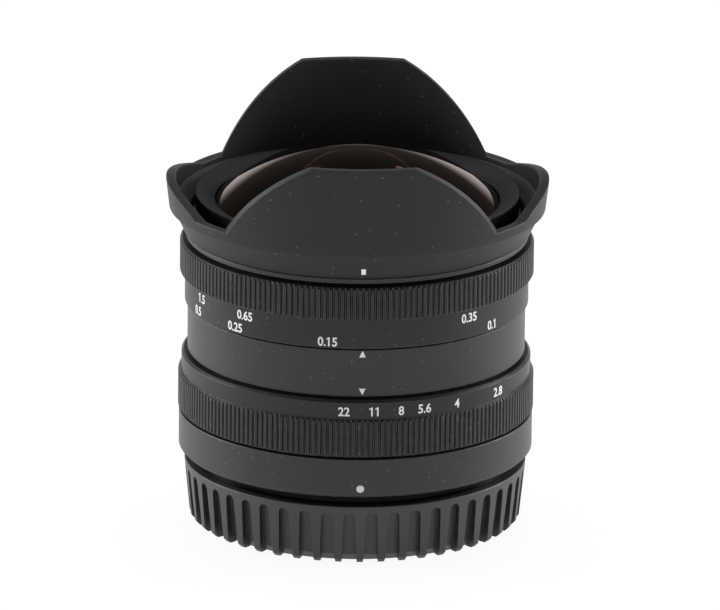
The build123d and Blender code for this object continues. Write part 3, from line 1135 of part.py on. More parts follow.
os.makedirs("parts", exist_ok=True)

# Fixed barrel and mount
save("main_barrel", main_barrel())
save("rear_barrel", rear_barrel())
save("index_bead", index_bead())
save("bayonet_mount", bayonet_mount())
save("mount_screws", screws(MOUNT_SCREW, MOUNT_SCREW_PLANES))
save("barrel_screws", screws(BARREL_SCREW, BARREL_SCREW_PLANES))
save("rear_baffle", rear_baffle())
save("baffle_screws", screws(BAFFLE_SCREW, BAFFLE_SCREW_PLANES))
save("front_collar", front_collar())
save("helicoid_retainer", helicoid_retainer())
save("guide_keys", guide_keys())
save("guide_key_screws", screws(GUIDE_SCREW, GUIDE_SCREW_PLANES))
save("click_spring", click_spring())
save("click_ball", click_ball())

# Hood and cap
save("lens_hood", lens_hood())
save("rear_cap", rear_cap())

# Rings turned by hand
save("aperture_ring", aperture_ring())
save("aperture_key", aperture_key())
save("aperture_key_screws", screws(APERTURE_KEY_SCREW, APERTURE_SCREW_PLANES))
save("focus_ring", focus_ring())
save("focus_key", focus_key())
save("focus_key_screws", screws(FOCUS_KEY_SCREW, FOCUS_SCREW_PLANES))
save("helicoid_ring", helicoid_ring())

# Optics that slide when the focus ring turns
save("optics_barrel", optics_barrel())
save("front_retaining_ring", front_retaining_ring())
save("second_lens_ring", plain_ring(SECOND_RING_BORE_R, SECOND_RING_R, SECOND_RING_Z, SECOND_RING_TOP_Z))
save("front_spacer", plain_ring(FRONT_SPACER_BORE_R, THIRD_EDGE_R, FRONT_SPACER_Z, SECOND_SEAT_Z - GLASS_GAP))
save("middle_spacer", plain_ring(
    MIDDLE_SPACER_BORE_R, FOURTH_EDGE_R, MIDDLE_SPACER_Z, THIRD_SEAT_Z - GLASS_GAP,
))
save("rear_lens_cell", rear_lens_cell())
save("sixth_lens_ring", plain_ring(REAR_SPACER_BORE_R, REAR_EDGE_R, REAR_RING_Z, REAR_RING_TOP_Z))
save("rear_spacer", plain_ring(REAR_SPACER_BORE_R, REAR_EDGE_R, REAR_SPACER_Z, REAR_SPACER_TOP_Z))
save("rear_retaining_ring", plain_ring(LAST_RING_BORE_R, LAST_EDGE_R, LAST_RING_Z, LAST_RING_TOP_Z))
save("front_dome_lens", lens(DOME_FRONT_Z, DOME_REAR_Z, DOME_FACES, DOME_EDGE_R, rear_reach=DOME_HOLLOW_R))
save("second_lens", lens(
    SECOND_FRONT_Z, SECOND_REAR_Z, SECOND_FACES, SECOND_EDGE_R, rear_reach=SECOND_HOLLOW_R,
))
save("third_lens", lens(THIRD_FRONT_Z, THIRD_REAR_Z, THIRD_FACES, THIRD_EDGE_R, rear_reach=THIRD_HOLLOW_R))
save("fourth_lens", lens(FOURTH_FRONT_Z, FOURTH_REAR_Z, FOURTH_FACES, FOURTH_EDGE_R))
save("fifth_lens", lens(FIFTH_FRONT_Z, FIFTH_REAR_Z, FIFTH_FACES, FOURTH_EDGE_R))
save("sixth_lens", lens(SIXTH_FRONT_Z, SIXTH_REAR_Z, SIXTH_FACES, REAR_EDGE_R))
save("seventh_lens", lens(
    SEVENTH_FRONT_Z, SEVENTH_REAR_Z, SEVENTH_FACES, REAR_EDGE_R, front_reach=SEVENTH_HOLLOW_R,
))
save("eighth_lens", lens(EIGHTH_FRONT_Z, EIGHTH_REAR_Z, EIGHTH_FACES, REAR_EDGE_R))
save("ninth_lens", lens(NINTH_FRONT_Z, NINTH_REAR_Z, NINTH_FACES, LAST_EDGE_R))
save("tenth_lens", lens(TENTH_FRONT_Z, TENTH_REAR_Z, TENTH_FACES, LAST_EDGE_R))

# Diaphragm
save("iris_base_plate", iris_base_plate())
save("iris_drive_ring", iris_drive_ring())
save("iris_clip", iris_clip())
for blade_index in range(BLADE_COUNT):
    save(f"iris_blade_{blade_index + 1}", iris_blade(blade_index))
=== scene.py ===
"""Looks of the fisheye lens: finishes, hood, painted figures, studio and camera. Metres, +Z up."""
import json
from math import atan2, cos, hypot, pi, radians, sin, sqrt, tan

import bmesh
import bpy
from mathutils import Matrix, Vector


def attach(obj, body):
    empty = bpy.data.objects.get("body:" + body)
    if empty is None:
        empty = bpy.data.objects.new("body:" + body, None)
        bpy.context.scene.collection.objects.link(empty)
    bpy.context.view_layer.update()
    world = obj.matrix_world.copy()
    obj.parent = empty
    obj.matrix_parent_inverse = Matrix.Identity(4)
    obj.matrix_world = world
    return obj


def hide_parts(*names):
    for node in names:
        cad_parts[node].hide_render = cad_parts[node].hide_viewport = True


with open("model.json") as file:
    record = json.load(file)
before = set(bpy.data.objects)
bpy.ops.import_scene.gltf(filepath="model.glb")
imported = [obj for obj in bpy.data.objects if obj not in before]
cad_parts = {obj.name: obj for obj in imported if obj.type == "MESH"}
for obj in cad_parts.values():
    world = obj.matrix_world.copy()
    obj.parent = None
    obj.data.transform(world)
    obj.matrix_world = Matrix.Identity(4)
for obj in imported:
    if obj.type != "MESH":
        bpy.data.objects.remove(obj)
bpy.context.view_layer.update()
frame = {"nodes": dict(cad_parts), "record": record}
MM = 0.001

# Camera, as fitted to the photograph
VIEW_TURN = radians(1.8)
VIEW_ELEVATION = radians(17.33)
VIEW_ROLL = radians(0.57)
VIEW_DISTANCE = 1989.6 * MM
VIEW_PIVOT_Z = 36.61 * MM
VIEW_SIDE = 0.60 * MM
VIEW_DROP = 0.0836 * MM
VIEW_REACH = 10.0
FOCAL_PIXELS = 11803
PICTURE_WIDTH = 720
SENSOR_WIDTH = 36.0

# Studio: between two heights of the look, the white walls give way to a dim ceiling
WHITE = (1.0, 1.0, 1.0, 1.0)
WALL_HEIGHTS = (0.10, 0.24)
WALL_LEVELS = (1.0, 0.12)
FLOOR_REACH = 3.0
FLOOR_TONE = 0.82
FLOOR_GLOW = 0.93
SOFTBOX_AIM_Z = 0.04

# Finishes: the usual span of noise, its core, and what a rounded edge shows
FULL = (0.0, 1.0)
NOISE_SPAN = (0.3, 0.7)
NOISE_CORE = (0.35, 0.65)
EDGE_DOTS = (0.995, 0.90)
EDGE_SAMPLES = 6
EDGE_ROUND = 0.12 * MM
# Tint of the paler edges: partly real rubbing of the finish, partly painted highlight
WEAR_AND_HIGHLIGHT_TINT = (1.0, 1.0, 1.02)
DUST_SOFTNESS = 0.6
DUST_LEFT_OUT = 0.6
BAND_BLEND = 0.05 * MM
GRAIN_DEPTH = 0.02 * MM

# Painted shade: beyond these radii the collar and the mount's flange lie in narrow gaps, and are painted
# near-black
COLLAR_SHADE_R = 27.2 * MM
FLANGE_SHADE_R = 26.5 * MM

# Rings that carry paint: radius of the band
APERTURE_BAND_R = 29.45 * MM
FOCUS_BAND_R = 28.95 * MM
BARREL_BAND_R = 28.46 * MM
PAINT_LIFT = 0.012 * MM
PAINT_DEPTH = 0.03 * MM
PAINT_FACET = 0.5 * MM
INDEX_ANGLE = radians(-90)

# Figures: words and degrees from the index; shares are of the height of a digit
APERTURE_FIGURES = (("22", -5.5), ("11", 4.55), ("8", 13.3), ("5.6", 21.3), ("4", 33.4), ("2.8", 52.3))
APERTURE_FIGURES_Z = 26.95 * MM
UPPER_FIGURES = (("1.5", -65.3), ("0.65", -41.8), ("0.35", 38.9))
UPPER_FIGURES_Z = 41.3 * MM
LOWER_FIGURES = (("0.5", -68.0), ("0.25", -46.1), ("0.15", -11.2), ("0.1", 49.9))
LOWER_FIGURES_Z = 38.9 * MM
FIGURE_HEIGHT = 1.5 * MM
FIGURE_CONDENSE = 0.92
FONT_DIGIT_SHARE = 0.70
STROKE_SHARE = 0.030
BAR_TALL_SHARE = 0.8
BAR_WIDE_SHARE = 0.3
FLAG_SHARES = ((0.02, 0.0), (0.02, -0.18), (-0.20, -0.29), (-0.20, -0.15), (-0.08, -0.08))

# Marks: the two triangles of the barrel as tip and foot, and the square one of the hood
INDEX_MARKS = ((37.4 * MM, 36.25 * MM), (29.7 * MM, 30.8 * MM))
INDEX_MARK_HALF = 0.55 * MM
INDEX_MARK_TURN = radians(0.45)
HOOD_MARK_X = 0.22 * MM
HOOD_MARK_Z = 50.95 * MM
HOOD_MARK_HALF = 0.375 * MM
HOOD_MARK_TALL = 1.1 * MM
HOOD_MARK_STEPS = 6

# Hood, with the same outline as its solid
HOOD_FOOT = (29.1 * MM, 50.1 * MM)
HOOD_FOOT_INSET = 0.1 * MM
HOOD_FOOT_LIFT = 0.08 * MM
HOOD_FLARE = (30.0 * MM, 52.1 * MM)
HOOD_SHOULDER = (31.1 * MM, 54.2 * MM)
HOOD_LIP = (31.66 * MM, 54.3 * MM)
HOOD_LIP_ROUND = 0.1 * MM
HOOD_LIP_SHARES = ((-1.0, -0.18), (-0.25, 0.25))
HOOD_LEAN = tan(radians(6.6))
HOOD_WALL = 1.65 * MM
HOOD_TOP_Z = 70.0 * MM
HOOD_RIM_Z = 56.1 * MM
BACK_PETAL_RISE = 0.5 * MM
BACK_RIM_RISE = 0.7 * MM
HOOD_BOWL_Z = 55.7 * MM
HOOD_GROOVE_Z = 54.5 * MM
HOOD_GROOVE_STEP = 0.75 * MM
HOOD_BORE_R = 28.15 * MM
HOOD_ROUND = 0.28 * MM
HOOD_ROUND_SHARES = (0.35, 0.7)
HOOD_RIM_SHARES = (0.0, 0.25, 0.5, 0.75, 1.0)
HOOD_LUG_R = 27.5 * MM
HOOD_LUG_HEIGHT = 0.75 * MM
HOOD_LUG_BITE = 0.05 * MM
HOOD_LUG_SWEEP = radians(38)
HOOD_LUG_ANGLES = (radians(30), radians(150), radians(270))
LONG_TOP_HALF = 8.7 * MM
LONG_MIDDLE = (17.6 * MM, 63.3 * MM)
LONG_FOOT_HALF = 22.4 * MM
SHORT_HALF = 15.9 * MM
SHORT_RISE = 3.2 * MM
SHORT_CROWN_R = 50.0 * MM
SHORT_CROWN_HALF = 10.5 * MM

# Fineness of the hood's mesh
HOOD_COLUMNS = 1440
HOOD_WALL_ROWS = 16
HOOD_FLARE_STEPS = 14
HOOD_LUG_STEPS = 24
HOOD_CUT_ROUNDS = 60
HOOD_SMOOTH_ANGLE = radians(28)


def link(obj):
    """Put a new object in the scene."""
    bpy.context.scene.collection.objects.link(obj)
    return obj


def circle_through(a, b, c):
    """Centre and radius of the circle through three points of a plane."""
    d = 2 * (a[0] * (b[1] - c[1]) + b[0] * (c[1] - a[1]) + c[0] * (a[1] - b[1]))
    squares = [p[0] ** 2 + p[1] ** 2 for p in (a, b, c)]
    x = (squares[0] * (b[1] - c[1]) + squares[1] * (c[1] - a[1]) + squares[2] * (a[1] - b[1])) / d
    y = (squares[0] * (c[0] - b[0]) + squares[1] * (a[0] - c[0]) + squares[2] * (b[0] - a[0])) / d
    return (x, y), hypot(a[0] - x, a[1] - y)


def grey(level):
    """Colour with one level in red, green and blue."""
    return (level, level, level, 1.0)


def shade(tone, share=1.0):
    """Colour of a tone, made darker or lighter by a share."""
    return (*(c * share for c in tone), 1.0)


def about(middle, below, above):
    """Range round a middle value."""
    return (middle - below, middle + above)


def set_ranges(node, span, to):
    """Write the two ranges of a Map Range node."""
    for name, number in zip(("From Min", "From Max", "To Min", "To Max"), (*span, *to)):
        node.inputs[name].default_value = number


class Nodes:
    """Small helper that builds a material's node tree."""

    def __init__(self, name):
        self.material = bpy.data.materials.new(name)
        self.material.use_nodes = True
        self.tree = self.material.node_tree
        self.shader = self.tree.nodes["Principled BSDF"]
        self.coords = self.add("ShaderNodeTexCoord").outputs["Object"]

    def add(self, kind, **settings):
        """New node with these settings."""
        node = self.tree.nodes.new(kind)
        for key, value in settings.items():
            setattr(node, key, value)
        return node

    def feed(self, value, node, name):
        """Link an output to an input, or write a number or colour there."""
        if hasattr(value, "is_output"):
            self.tree.links.new(value, node.inputs[name])
        else:
            node.inputs[name].default_value = value

    def noise(self, scale, detail=3.0, roughness=0.55, where=None):
        """Noise on the object, or on other coordinates."""
        node = self.add("ShaderNodeTexNoise")
        self.feed(where or self.coords, node, "Vector")
        self.feed(scale, node, "Scale")
        self.feed(detail, node, "Detail")
        self.feed(roughness, node, "Roughness")
        return node.outputs["Fac"]

    def spread(self, value, span, to=FULL):
        """Map one range of a value to another."""
        node = self.add("ShaderNodeMapRange")
        self.feed(value, node, "Value")
        set_ranges(node, span, to)
        return node.outputs["Result"]

    def math(self, operation, a, b):
        """Sum, product or comparison of two values."""
        node = self.add("ShaderNodeMath", operation=operation)
        self.feed(a, node, 0)
        self.feed(b, node, 1)
        return node.outputs[0]

    def mix(self, factor, a, b):
        """Colour a, and b where the factor is 1."""
        node = self.add("ShaderNodeMix", data_type="RGBA")
        self.feed(factor, node, 0)
        self.feed(a, node, 6)
        self.feed(b, node, 7)
        return node.outputs[2]

    def rounded(self, radius):
        """Normal that rounds the sharp edges."""
        bevel = self.add("ShaderNodeBevel", samples=EDGE_SAMPLES)
        self.feed(radius, bevel, "Radius")
        return bevel.outputs["Normal"]

    def edges(self, normal):
        """Mask of the sharp edges, where the rounded normal leaves the plain one."""
        geometry = self.add("ShaderNodeNewGeometry")
        dot = self.add("ShaderNodeVectorMath", operation="DOT_PRODUCT")
        self.feed(normal, dot, 0)
        self.feed(geometry.outputs["Normal"], dot, 1)
        return self.spread(dot.outputs["Value"], EDGE_DOTS)

    def beyond(self, radius):
        """Mask of what lies further from the optical axis than a radius."""
        flat = self.add("ShaderNodeVectorMath", operation="MULTIPLY")
        self.feed(self.coords, flat, 0)
        self.feed((1.0, 1.0, 0.0), flat, 1)
        length = self.add("ShaderNodeVectorMath", operation="LENGTH")
        self.feed(flat.outputs["Vector"], length, 0)
        return self.spread(length.outputs["Value"], about(radius, BAND_BLEND, BAND_BLEND))

    def dust(self, scale, size):
        """Mask of a few specks of dust."""
        cells = self.add("ShaderNodeTexVoronoi", feature="F1")
        self.feed(self.coords, cells, "Vector")
        self.feed(scale, cells, "Scale")
        speck = self.spread(cells.outputs["Distance"], (size, size * DUST_SOFTNESS))
        split = self.add("ShaderNodeSeparateColor")
        self.feed(cells.outputs["Color"], split, "Color")
        chosen = self.math("GREATER_THAN", split.outputs["Red"], DUST_LEFT_OUT)
        return self.math("MULTIPLY", speck, chosen)

    def finish(self, colour, roughness, bump=None, strength=0.2, normal=None):
        """Give the shader its colour, its gloss and its fine relief."""
        self.feed(colour, self.shader, "Base Color")
        self.feed(roughness, self.shader, "Roughness")
        if bump is not None:
            node = self.add("ShaderNodeBump")
            self.feed(strength, node, "Strength")
            self.feed(GRAIN_DEPTH, node, "Distance")
            self.feed(bump, node, "Height")
            if normal is not None:
                self.feed(normal, node, "Normal")
            self.feed(node.outputs["Normal"], self.shader, "Normal")
        return self.material


def black_finish(name, tone, rough, gloss, edge_wear_and_highlight=0.17, grain=7000, dusty=0.22, painted_shade_beyond=None):
    """Black anodised or painted metal: cloudy tone, fine grain, paler edges, a few specks; the paler edges are
    partly real rubbing and partly painted highlight.
    """
    n = Nodes(name)
    cloudy = n.noise(scale=55, detail=4)
    fine = n.noise(scale=grain, detail=2)
    normal = n.rounded(EDGE_ROUND)
    patches = n.spread(n.noise(scale=900), NOISE_CORE, to=(0.35, 1.0))
    # Paler edges: partly real rubbing, partly painted highlight standing for the light that rounded edges
    # catch
    worn_and_highlit_edges = n.math("MULTIPLY", n.edges(normal), patches)
    colour = n.mix(n.spread(cloudy, NOISE_SPAN), shade(tone, 0.86), shade(tone, 1.16))
    colour = n.mix(worn_and_highlit_edges, colour, shade(WEAR_AND_HIGHLIGHT_TINT, edge_wear_and_highlight))
    colour = n.mix(n.dust(scale=850, size=0.10), colour, grey(dusty))
    n.feed(gloss, n.shader, "Specular IOR Level")
    # Painted shade: beyond a radius the colour turns near-black and the gloss drops, for the shade of a narrow
    # gap
    if painted_shade_beyond:
        painted_shade = n.beyond(painted_shade_beyond)
        colour = n.mix(painted_shade, colour, grey(0.004))
        n.feed(n.spread(painted_shade, FULL, to=(gloss, 0.05)), n.shader, "Specular IOR Level")
    roughness = n.math("ADD", n.spread(cloudy, NOISE_SPAN, to=about(rough, below=0.04, above=0.05)),
                       n.spread(fine, NOISE_SPAN, to=(-0.03, 0.03)))
    return n.finish(colour, roughness, bump=fine, strength=0.25, normal=normal)


def bright_metal(name, tone, rough, stretch=(1.0, 1.0, 60.0), metallic=1.0, painted_shade_beyond=None):
    """Turned or brushed metal: fine lines one way, cloudy tone, smudges in its gloss."""
    n = Nodes(name)
    mapping = n.add("ShaderNodeMapping")
    n.feed(n.coords, mapping, "Vector")
    n.feed(stretch, mapping, "Scale")
    lines = n.noise(scale=400, detail=4, roughness=0.5, where=mapping.outputs["Vector"])
    cloudy = n.noise(scale=120, detail=4)
    colour = n.mix(n.spread(lines, NOISE_CORE), shade(tone, 0.84), shade(tone, 1.08))
    # Painted shade: beyond a radius the metal turns near-black, for the shade of a narrow gap
    if painted_shade_beyond:
        colour = n.mix(n.beyond(painted_shade_beyond), colour, grey(0.006))
    n.feed(metallic, n.shader, "Metallic")
    roughness = n.math("ADD", n.spread(cloudy, NOISE_SPAN, to=about(rough, below=0.05, above=0.06)),
                       n.spread(lines, NOISE_SPAN, to=(-0.04, 0.04)))
    return n.finish(colour, roughness, bump=lines, strength=0.15, normal=n.rounded(0.06 * MM))


def moulded_plastic(name, tone, rough, gloss):
    """Black moulded plastic: fine spark-eroded texture, rubbed edges, specks of dust."""
    n = Nodes(name)
    n.feed(gloss, n.shader, "Specular IOR Level")
    grain = n.noise(scale=3800)
    cloudy = n.noise(scale=70, detail=5)
    normal = n.rounded(0.14 * MM)
    rubbed = n.math("MULTIPLY", n.edges(normal), n.spread(n.noise(scale=700), NOISE_SPAN, to=(0.2, 0.9)))
    colour = n.mix(n.spread(cloudy, NOISE_SPAN), shade(tone, 0.85), shade(tone, 1.15))
    colour = n.mix(rubbed, colour, grey(0.12))
    colour = n.mix(n.dust(scale=420, size=0.035), colour, grey(0.2))
    roughness = n.spread(grain, NOISE_SPAN, to=about(rough, below=0.06, above=0.06))
    return n.finish(colour, roughness, bump=grain, strength=0.3, normal=normal)


def white_paint(name, tone):
    """White filled enamel: slightly uneven, with tiny pits."""
    n = Nodes(name)
    uneven = n.noise(scale=2500)
    colour = n.mix(n.spread(uneven, NOISE_SPAN), shade(tone, 0.88), shade(tone))
    roughness = n.spread(uneven, NOISE_SPAN, to=(0.42, 0.58))
    return n.finish(colour, roughness, bump=uneven, strength=0.12)


def coated_glass(name, tone, tint):
    """Optical glass with a thin coating, and the faintest dust on its gloss."""
    n = Nodes(name)
    colour = n.mix(n.spread(n.noise(scale=60), NOISE_SPAN), shade(tone, 0.94), shade(tone))
    smudges = n.spread(n.noise(scale=900), NOISE_SPAN, to=(0.0, 0.012))
    roughness = n.math("ADD", smudges, n.math("MULTIPLY", n.dust(scale=500, size=0.05), 0.25))
    for socket, value in (("Transmission Weight", 1.0), ("IOR", 1.62), ("Specular Tint", shade(tint)),
                          ("Thin Film Thickness", 102), ("Thin Film IOR", 1.38)):
        n.feed(value, n.shader, socket)
    return n.finish(colour, roughness)


def make_finishes():
    """One material for each slot of the record."""
    recipes = {
        "barrel_black": (black_finish, dict(tone=(0.018, 0.018, 0.0185), rough=0.40, gloss=0.45)),
        "grip_black": (black_finish, dict(tone=(0.015, 0.015, 0.0155), rough=0.40, gloss=0.34)),
        "hood_black": (black_finish, dict(tone=(0.014, 0.0145, 0.015), rough=0.50, gloss=0.32, edge_wear_and_highlight=0.12,
                                          grain=5200)),
        # Painted shade: the collar's outer wall, beyond COLLAR_SHADE_R, is painted near-black
        "inner_black": (black_finish, dict(tone=(0.010, 0.010, 0.010), rough=0.62, gloss=0.3, edge_wear_and_highlight=0.03,
                                           dusty=0.08, painted_shade_beyond=COLLAR_SHADE_R)),
        "cap_plastic": (moulded_plastic, dict(tone=(0.026, 0.026, 0.0265), rough=0.46, gloss=0.62)),
        # Painted shade: the flange's edge, beyond FLANGE_SHADE_R, is painted near-black instead of bright
        # metal
        "mount_metal": (bright_metal, dict(tone=(0.72, 0.72, 0.71), rough=0.22, painted_shade_beyond=FLANGE_SHADE_R)),
        "screw_steel": (bright_metal, dict(tone=(0.32, 0.32, 0.33), rough=0.34, stretch=(1, 1, 1))),
        "spring_steel": (bright_metal, dict(tone=(0.52, 0.52, 0.53), rough=0.28)),
        "helicoid_brass": (bright_metal, dict(tone=(0.62, 0.46, 0.20), rough=0.30)),
        "blade_steel": (bright_metal, dict(tone=(0.05, 0.05, 0.055), rough=0.42, stretch=(1, 6, 1),
                                           metallic=0.6)),
        "index_white": (white_paint, dict(tone=(0.80, 0.80, 0.78))),
        # Painted shade: the front glass's deep brown tint darkens the dome to stand for the shaded inside of
        # the lens
        "front_glass": (coated_glass, dict(tone=(0.12, 0.08, 0.06), tint=(1.0, 0.90, 0.92))),
        "inner_glass": (coated_glass, dict(tone=(0.88, 0.86, 0.80), tint=(0.80, 0.95, 0.85))),
    }
    return {name: make(name, **settings) for name, (make, settings) in recipes.items()}


def hood_outer_r(z):
    """Outside radius of the hood's wall."""
    return HOOD_LIP[0] + (z - HOOD_LIP[1]) * HOOD_LEAN


def hood_inner_r(z):
    """Inside radius of the hood's wall."""
    return hood_outer_r(z) - HOOD_WALL


def hood_flare_r(z):
    """Outside radius of the hood's foot, which flares in an arc."""
    centre, radius = circle_through(HOOD_FOOT, HOOD_FLARE, HOOD_SHOULDER)
    side = 1 if HOOD_FLARE[0] > centre[0] else -1
    return centre[0] + side * sqrt(radius ** 2 - (z - centre[1]) ** 2)


def rim_height(x, y):
    """Height at which the rim is cut, over a place in plan; the back half ends a little higher."""
    top_z = HOOD_TOP_Z + (BACK_PETAL_RISE if y > 0 else 0)
    valley_z = HOOD_RIM_Z + (BACK_RIM_RISE if y > 0 else 0)
    x, y = abs(x), abs(y)
    if y > SHORT_HALF:
        if x <= LONG_TOP_HALF:
            return top_z
        if x >= LONG_FOOT_HALF:
            return valley_z
        middle = (LONG_MIDDLE[0], LONG_MIDDLE[1] + top_z - HOOD_TOP_Z)
        centre, radius = circle_through((LONG_TOP_HALF, top_z), middle, (LONG_FOOT_HALF, valley_z))
        return centre[1] + sqrt(max(0.0, radius ** 2 - (x - centre[0]) ** 2))
    crown_z = HOOD_RIM_Z + SHORT_RISE
    if y <= SHORT_CROWN_HALF:
        return crown_z - SHORT_CROWN_R + sqrt(SHORT_CROWN_R ** 2 - y ** 2)
    turn_z = crown_z - SHORT_CROWN_R + sqrt(SHORT_CROWN_R ** 2 - SHORT_CROWN_HALF ** 2)
    slope = SHORT_CROWN_HALF / sqrt(SHORT_CROWN_R ** 2 - SHORT_CROWN_HALF ** 2)
    normal = Vector((slope, 1.0)).normalized()
    chord = Vector((SHORT_HALF - SHORT_CROWN_HALF, valley_z - turn_z))
    radius = chord.length_squared / (2 * -chord.dot(normal))
    centre = (SHORT_CROWN_HALF - normal.x * radius, turn_z - normal.y * radius)
    return centre[1] + sqrt(radius ** 2 - (y - centre[0]) ** 2)


def cut_height(angle, radius_at):
    """Height at which a leaning wall meets the cut of the rim, found by halving the miss."""
    z = HOOD_TOP_Z
    for _ in range(HOOD_CUT_ROUNDS):
        radius = radius_at(z)
        z = (z + rim_height(radius * cos(angle), radius * sin(angle))) / 2
    return z


def round_off(share):
    """How far a rounded edge stays in from its side and below its top, at a share of its quarter turn."""
    turn = radians(90 * share)
    return HOOD_ROUND * (1 - cos(turn)), HOOD_ROUND * (1 - sin(turn))


def hood_column(angle):
    """Section of the hood at one angle, as (radius, height) points from the foot round to the bore."""
    centre, radius = circle_through(HOOD_FOOT, HOOD_FLARE, HOOD_SHOULDER)
    start, end = (atan2(z - centre[1], r - centre[0]) for r, z in (HOOD_FOOT, HOOD_SHOULDER))
    points = [(HOOD_FOOT[0] - HOOD_FOOT_INSET, HOOD_FOOT[1])]
    for step in range(HOOD_FLARE_STEPS + 1):
        turn = start + (end - start) * step / HOOD_FLARE_STEPS
        points.append((centre[0] + radius * cos(turn), centre[1] + radius * sin(turn)))
    points[1] = (points[1][0], points[1][1] + HOOD_FOOT_LIFT)

    lip_r, lip_z = HOOD_LIP
    for out, rise in HOOD_LIP_SHARES:
        points.append((lip_r + out * HOOD_LIP_ROUND, lip_z + rise * HOOD_LIP_ROUND))
    base_z = lip_z + HOOD_LIP_ROUND
    outer_z, inner_z = cut_height(angle, hood_outer_r), cut_height(angle, hood_inner_r)
    outer_r, inner_r = hood_outer_r(outer_z), hood_inner_r(inner_z)
    wall_height = outer_z - HOOD_ROUND - base_z
    for step in range(HOOD_WALL_ROWS + 1):
        z = base_z + wall_height * step / HOOD_WALL_ROWS
        points.append((hood_outer_r(z), z))

    for inset, lift in map(round_off, HOOD_ROUND_SHARES):
        points.append((outer_r - inset, outer_z - lift))
    for share in HOOD_RIM_SHARES:
        r = outer_r - HOOD_ROUND + (inner_r - outer_r + 2 * HOOD_ROUND) * share
        points.append((r, min(rim_height(r * cos(angle), r * sin(angle)), max(outer_z, inner_z))))
    for inset, lift in map(round_off, reversed(HOOD_ROUND_SHARES)):
        points.append((inner_r + inset, inner_z - lift))

    inner_top = inner_z - HOOD_ROUND
    for step in range(HOOD_WALL_ROWS + 1):
        z = inner_top + (HOOD_BOWL_Z - inner_top) * step / HOOD_WALL_ROWS
        points.append((hood_inner_r(z), z))
    points.append((HOOD_BORE_R + HOOD_GROOVE_STEP, HOOD_GROOVE_Z))
    points.append((HOOD_BORE_R, HOOD_GROOVE_Z - HOOD_GROOVE_STEP))
    points.append((HOOD_BORE_R, HOOD_FOOT[1]))
    return points


def make_hood():
    """Petal hood with rounded rims, and its three lugs."""
    mesh = bmesh.new()
    columns = []
    for index in range(HOOD_COLUMNS):
        angle = 2 * pi * index / HOOD_COLUMNS
        columns.append([
            mesh.verts.new((r * cos(angle), r * sin(angle), z)) for r, z in hood_column(angle)
        ])
    for index, column in enumerate(columns):
        after = columns[(index + 1) % HOOD_COLUMNS]
        for row in range(len(column)):
            below = (row + 1) % len(column)
            mesh.faces.new((column[row], after[row], after[below], column[below]))
    for middle in HOOD_LUG_ANGLES:
        add_lug(mesh, middle)
    return mesh_piece("petal_hood", mesh, smooth_angle=HOOD_SMOOTH_ANGLE)


def add_lug(mesh, middle):
    """Closed piece of a ring inside the foot of the hood."""
    inner_r, outer_r = HOOD_LUG_R, HOOD_BORE_R + HOOD_LUG_BITE
    bottom, top = HOOD_FOOT[1], HOOD_FOOT[1] + HOOD_LUG_HEIGHT
    rings = []
    for step in range(HOOD_LUG_STEPS + 1):
        angle = middle + HOOD_LUG_SWEEP * (step / HOOD_LUG_STEPS - 0.5)
        rings.append([
            mesh.verts.new((r * cos(angle), r * sin(angle), z))
            for r, z in ((inner_r, bottom), (outer_r, bottom), (outer_r, top), (inner_r, top))
        ])
    for a, b in zip(rings, rings[1:]):
        for row in range(len(a)):
            below = (row + 1) % len(a)
            mesh.faces.new((a[row], a[below], b[below], b[row]))
    mesh.faces.new(rings[0][::-1])
    mesh.faces.new(rings[-1])


def mesh_piece(name, mesh, smooth_angle=None):
    """Object from a bmesh, with its normals outward."""
    bmesh.ops.recalc_face_normals(mesh, faces=mesh.faces)
    data = bpy.data.meshes.new(name)
    mesh.to_mesh(data)
    mesh.free()
    obj = link(bpy.data.objects.new(name, data))
    if smooth_angle:
        data.shade_smooth()
        data.set_sharp_from_angle(angle=smooth_angle)
    return obj


def flat_text(words):
    """Flat mesh of a figure, centred on its origin."""
    curve = bpy.data.curves.new("words", "FONT")
    curve.body = words
    curve.align_x = "CENTER"
    curve.align_y = "CENTER"
    curve.size = FIGURE_HEIGHT / FONT_DIGIT_SHARE
    curve.offset = FIGURE_HEIGHT * STROKE_SHARE
    curve.resolution_u = 4
    holder = link(bpy.data.objects.new("words", curve))
    bpy.context.view_layer.update()
    data = bpy.data.meshes.new_from_object(holder)
    bpy.data.objects.remove(holder)
    data.transform(Matrix.Diagonal((FIGURE_CONDENSE, 1, 1, 1)))
    flag_ones(data)
    return data


def flag_ones(data):
    """Give each plain upright bar among the digits the slanting flag of a 1."""
    flat = bmesh.new()
    flat.from_mesh(data)
    seen = set()
    for start in list(flat.verts):
        if start in seen:
            continue
        island, front = set(), {start}
        while front:
            v = front.pop()
            island.add(v)
            front |= {e.other_vert(v) for e in v.link_edges} - island
        seen |= island
        low_x, high_x = min(v.co.x for v in island), max(v.co.x for v in island)
        low_y, high_y = min(v.co.y for v in island), max(v.co.y for v in island)
        tall = high_y - low_y > BAR_TALL_SHARE * FIGURE_HEIGHT
        thin = high_x - low_x < BAR_WIDE_SHARE * FIGURE_HEIGHT
        if tall and thin:
            flat.faces.new([
                flat.verts.new((low_x + x * FIGURE_HEIGHT, high_y + y * FIGURE_HEIGHT, 0))
                for x, y in FLAG_SHARES
            ]).normal_flip()
    flat.to_mesh(data)
    flat.free()


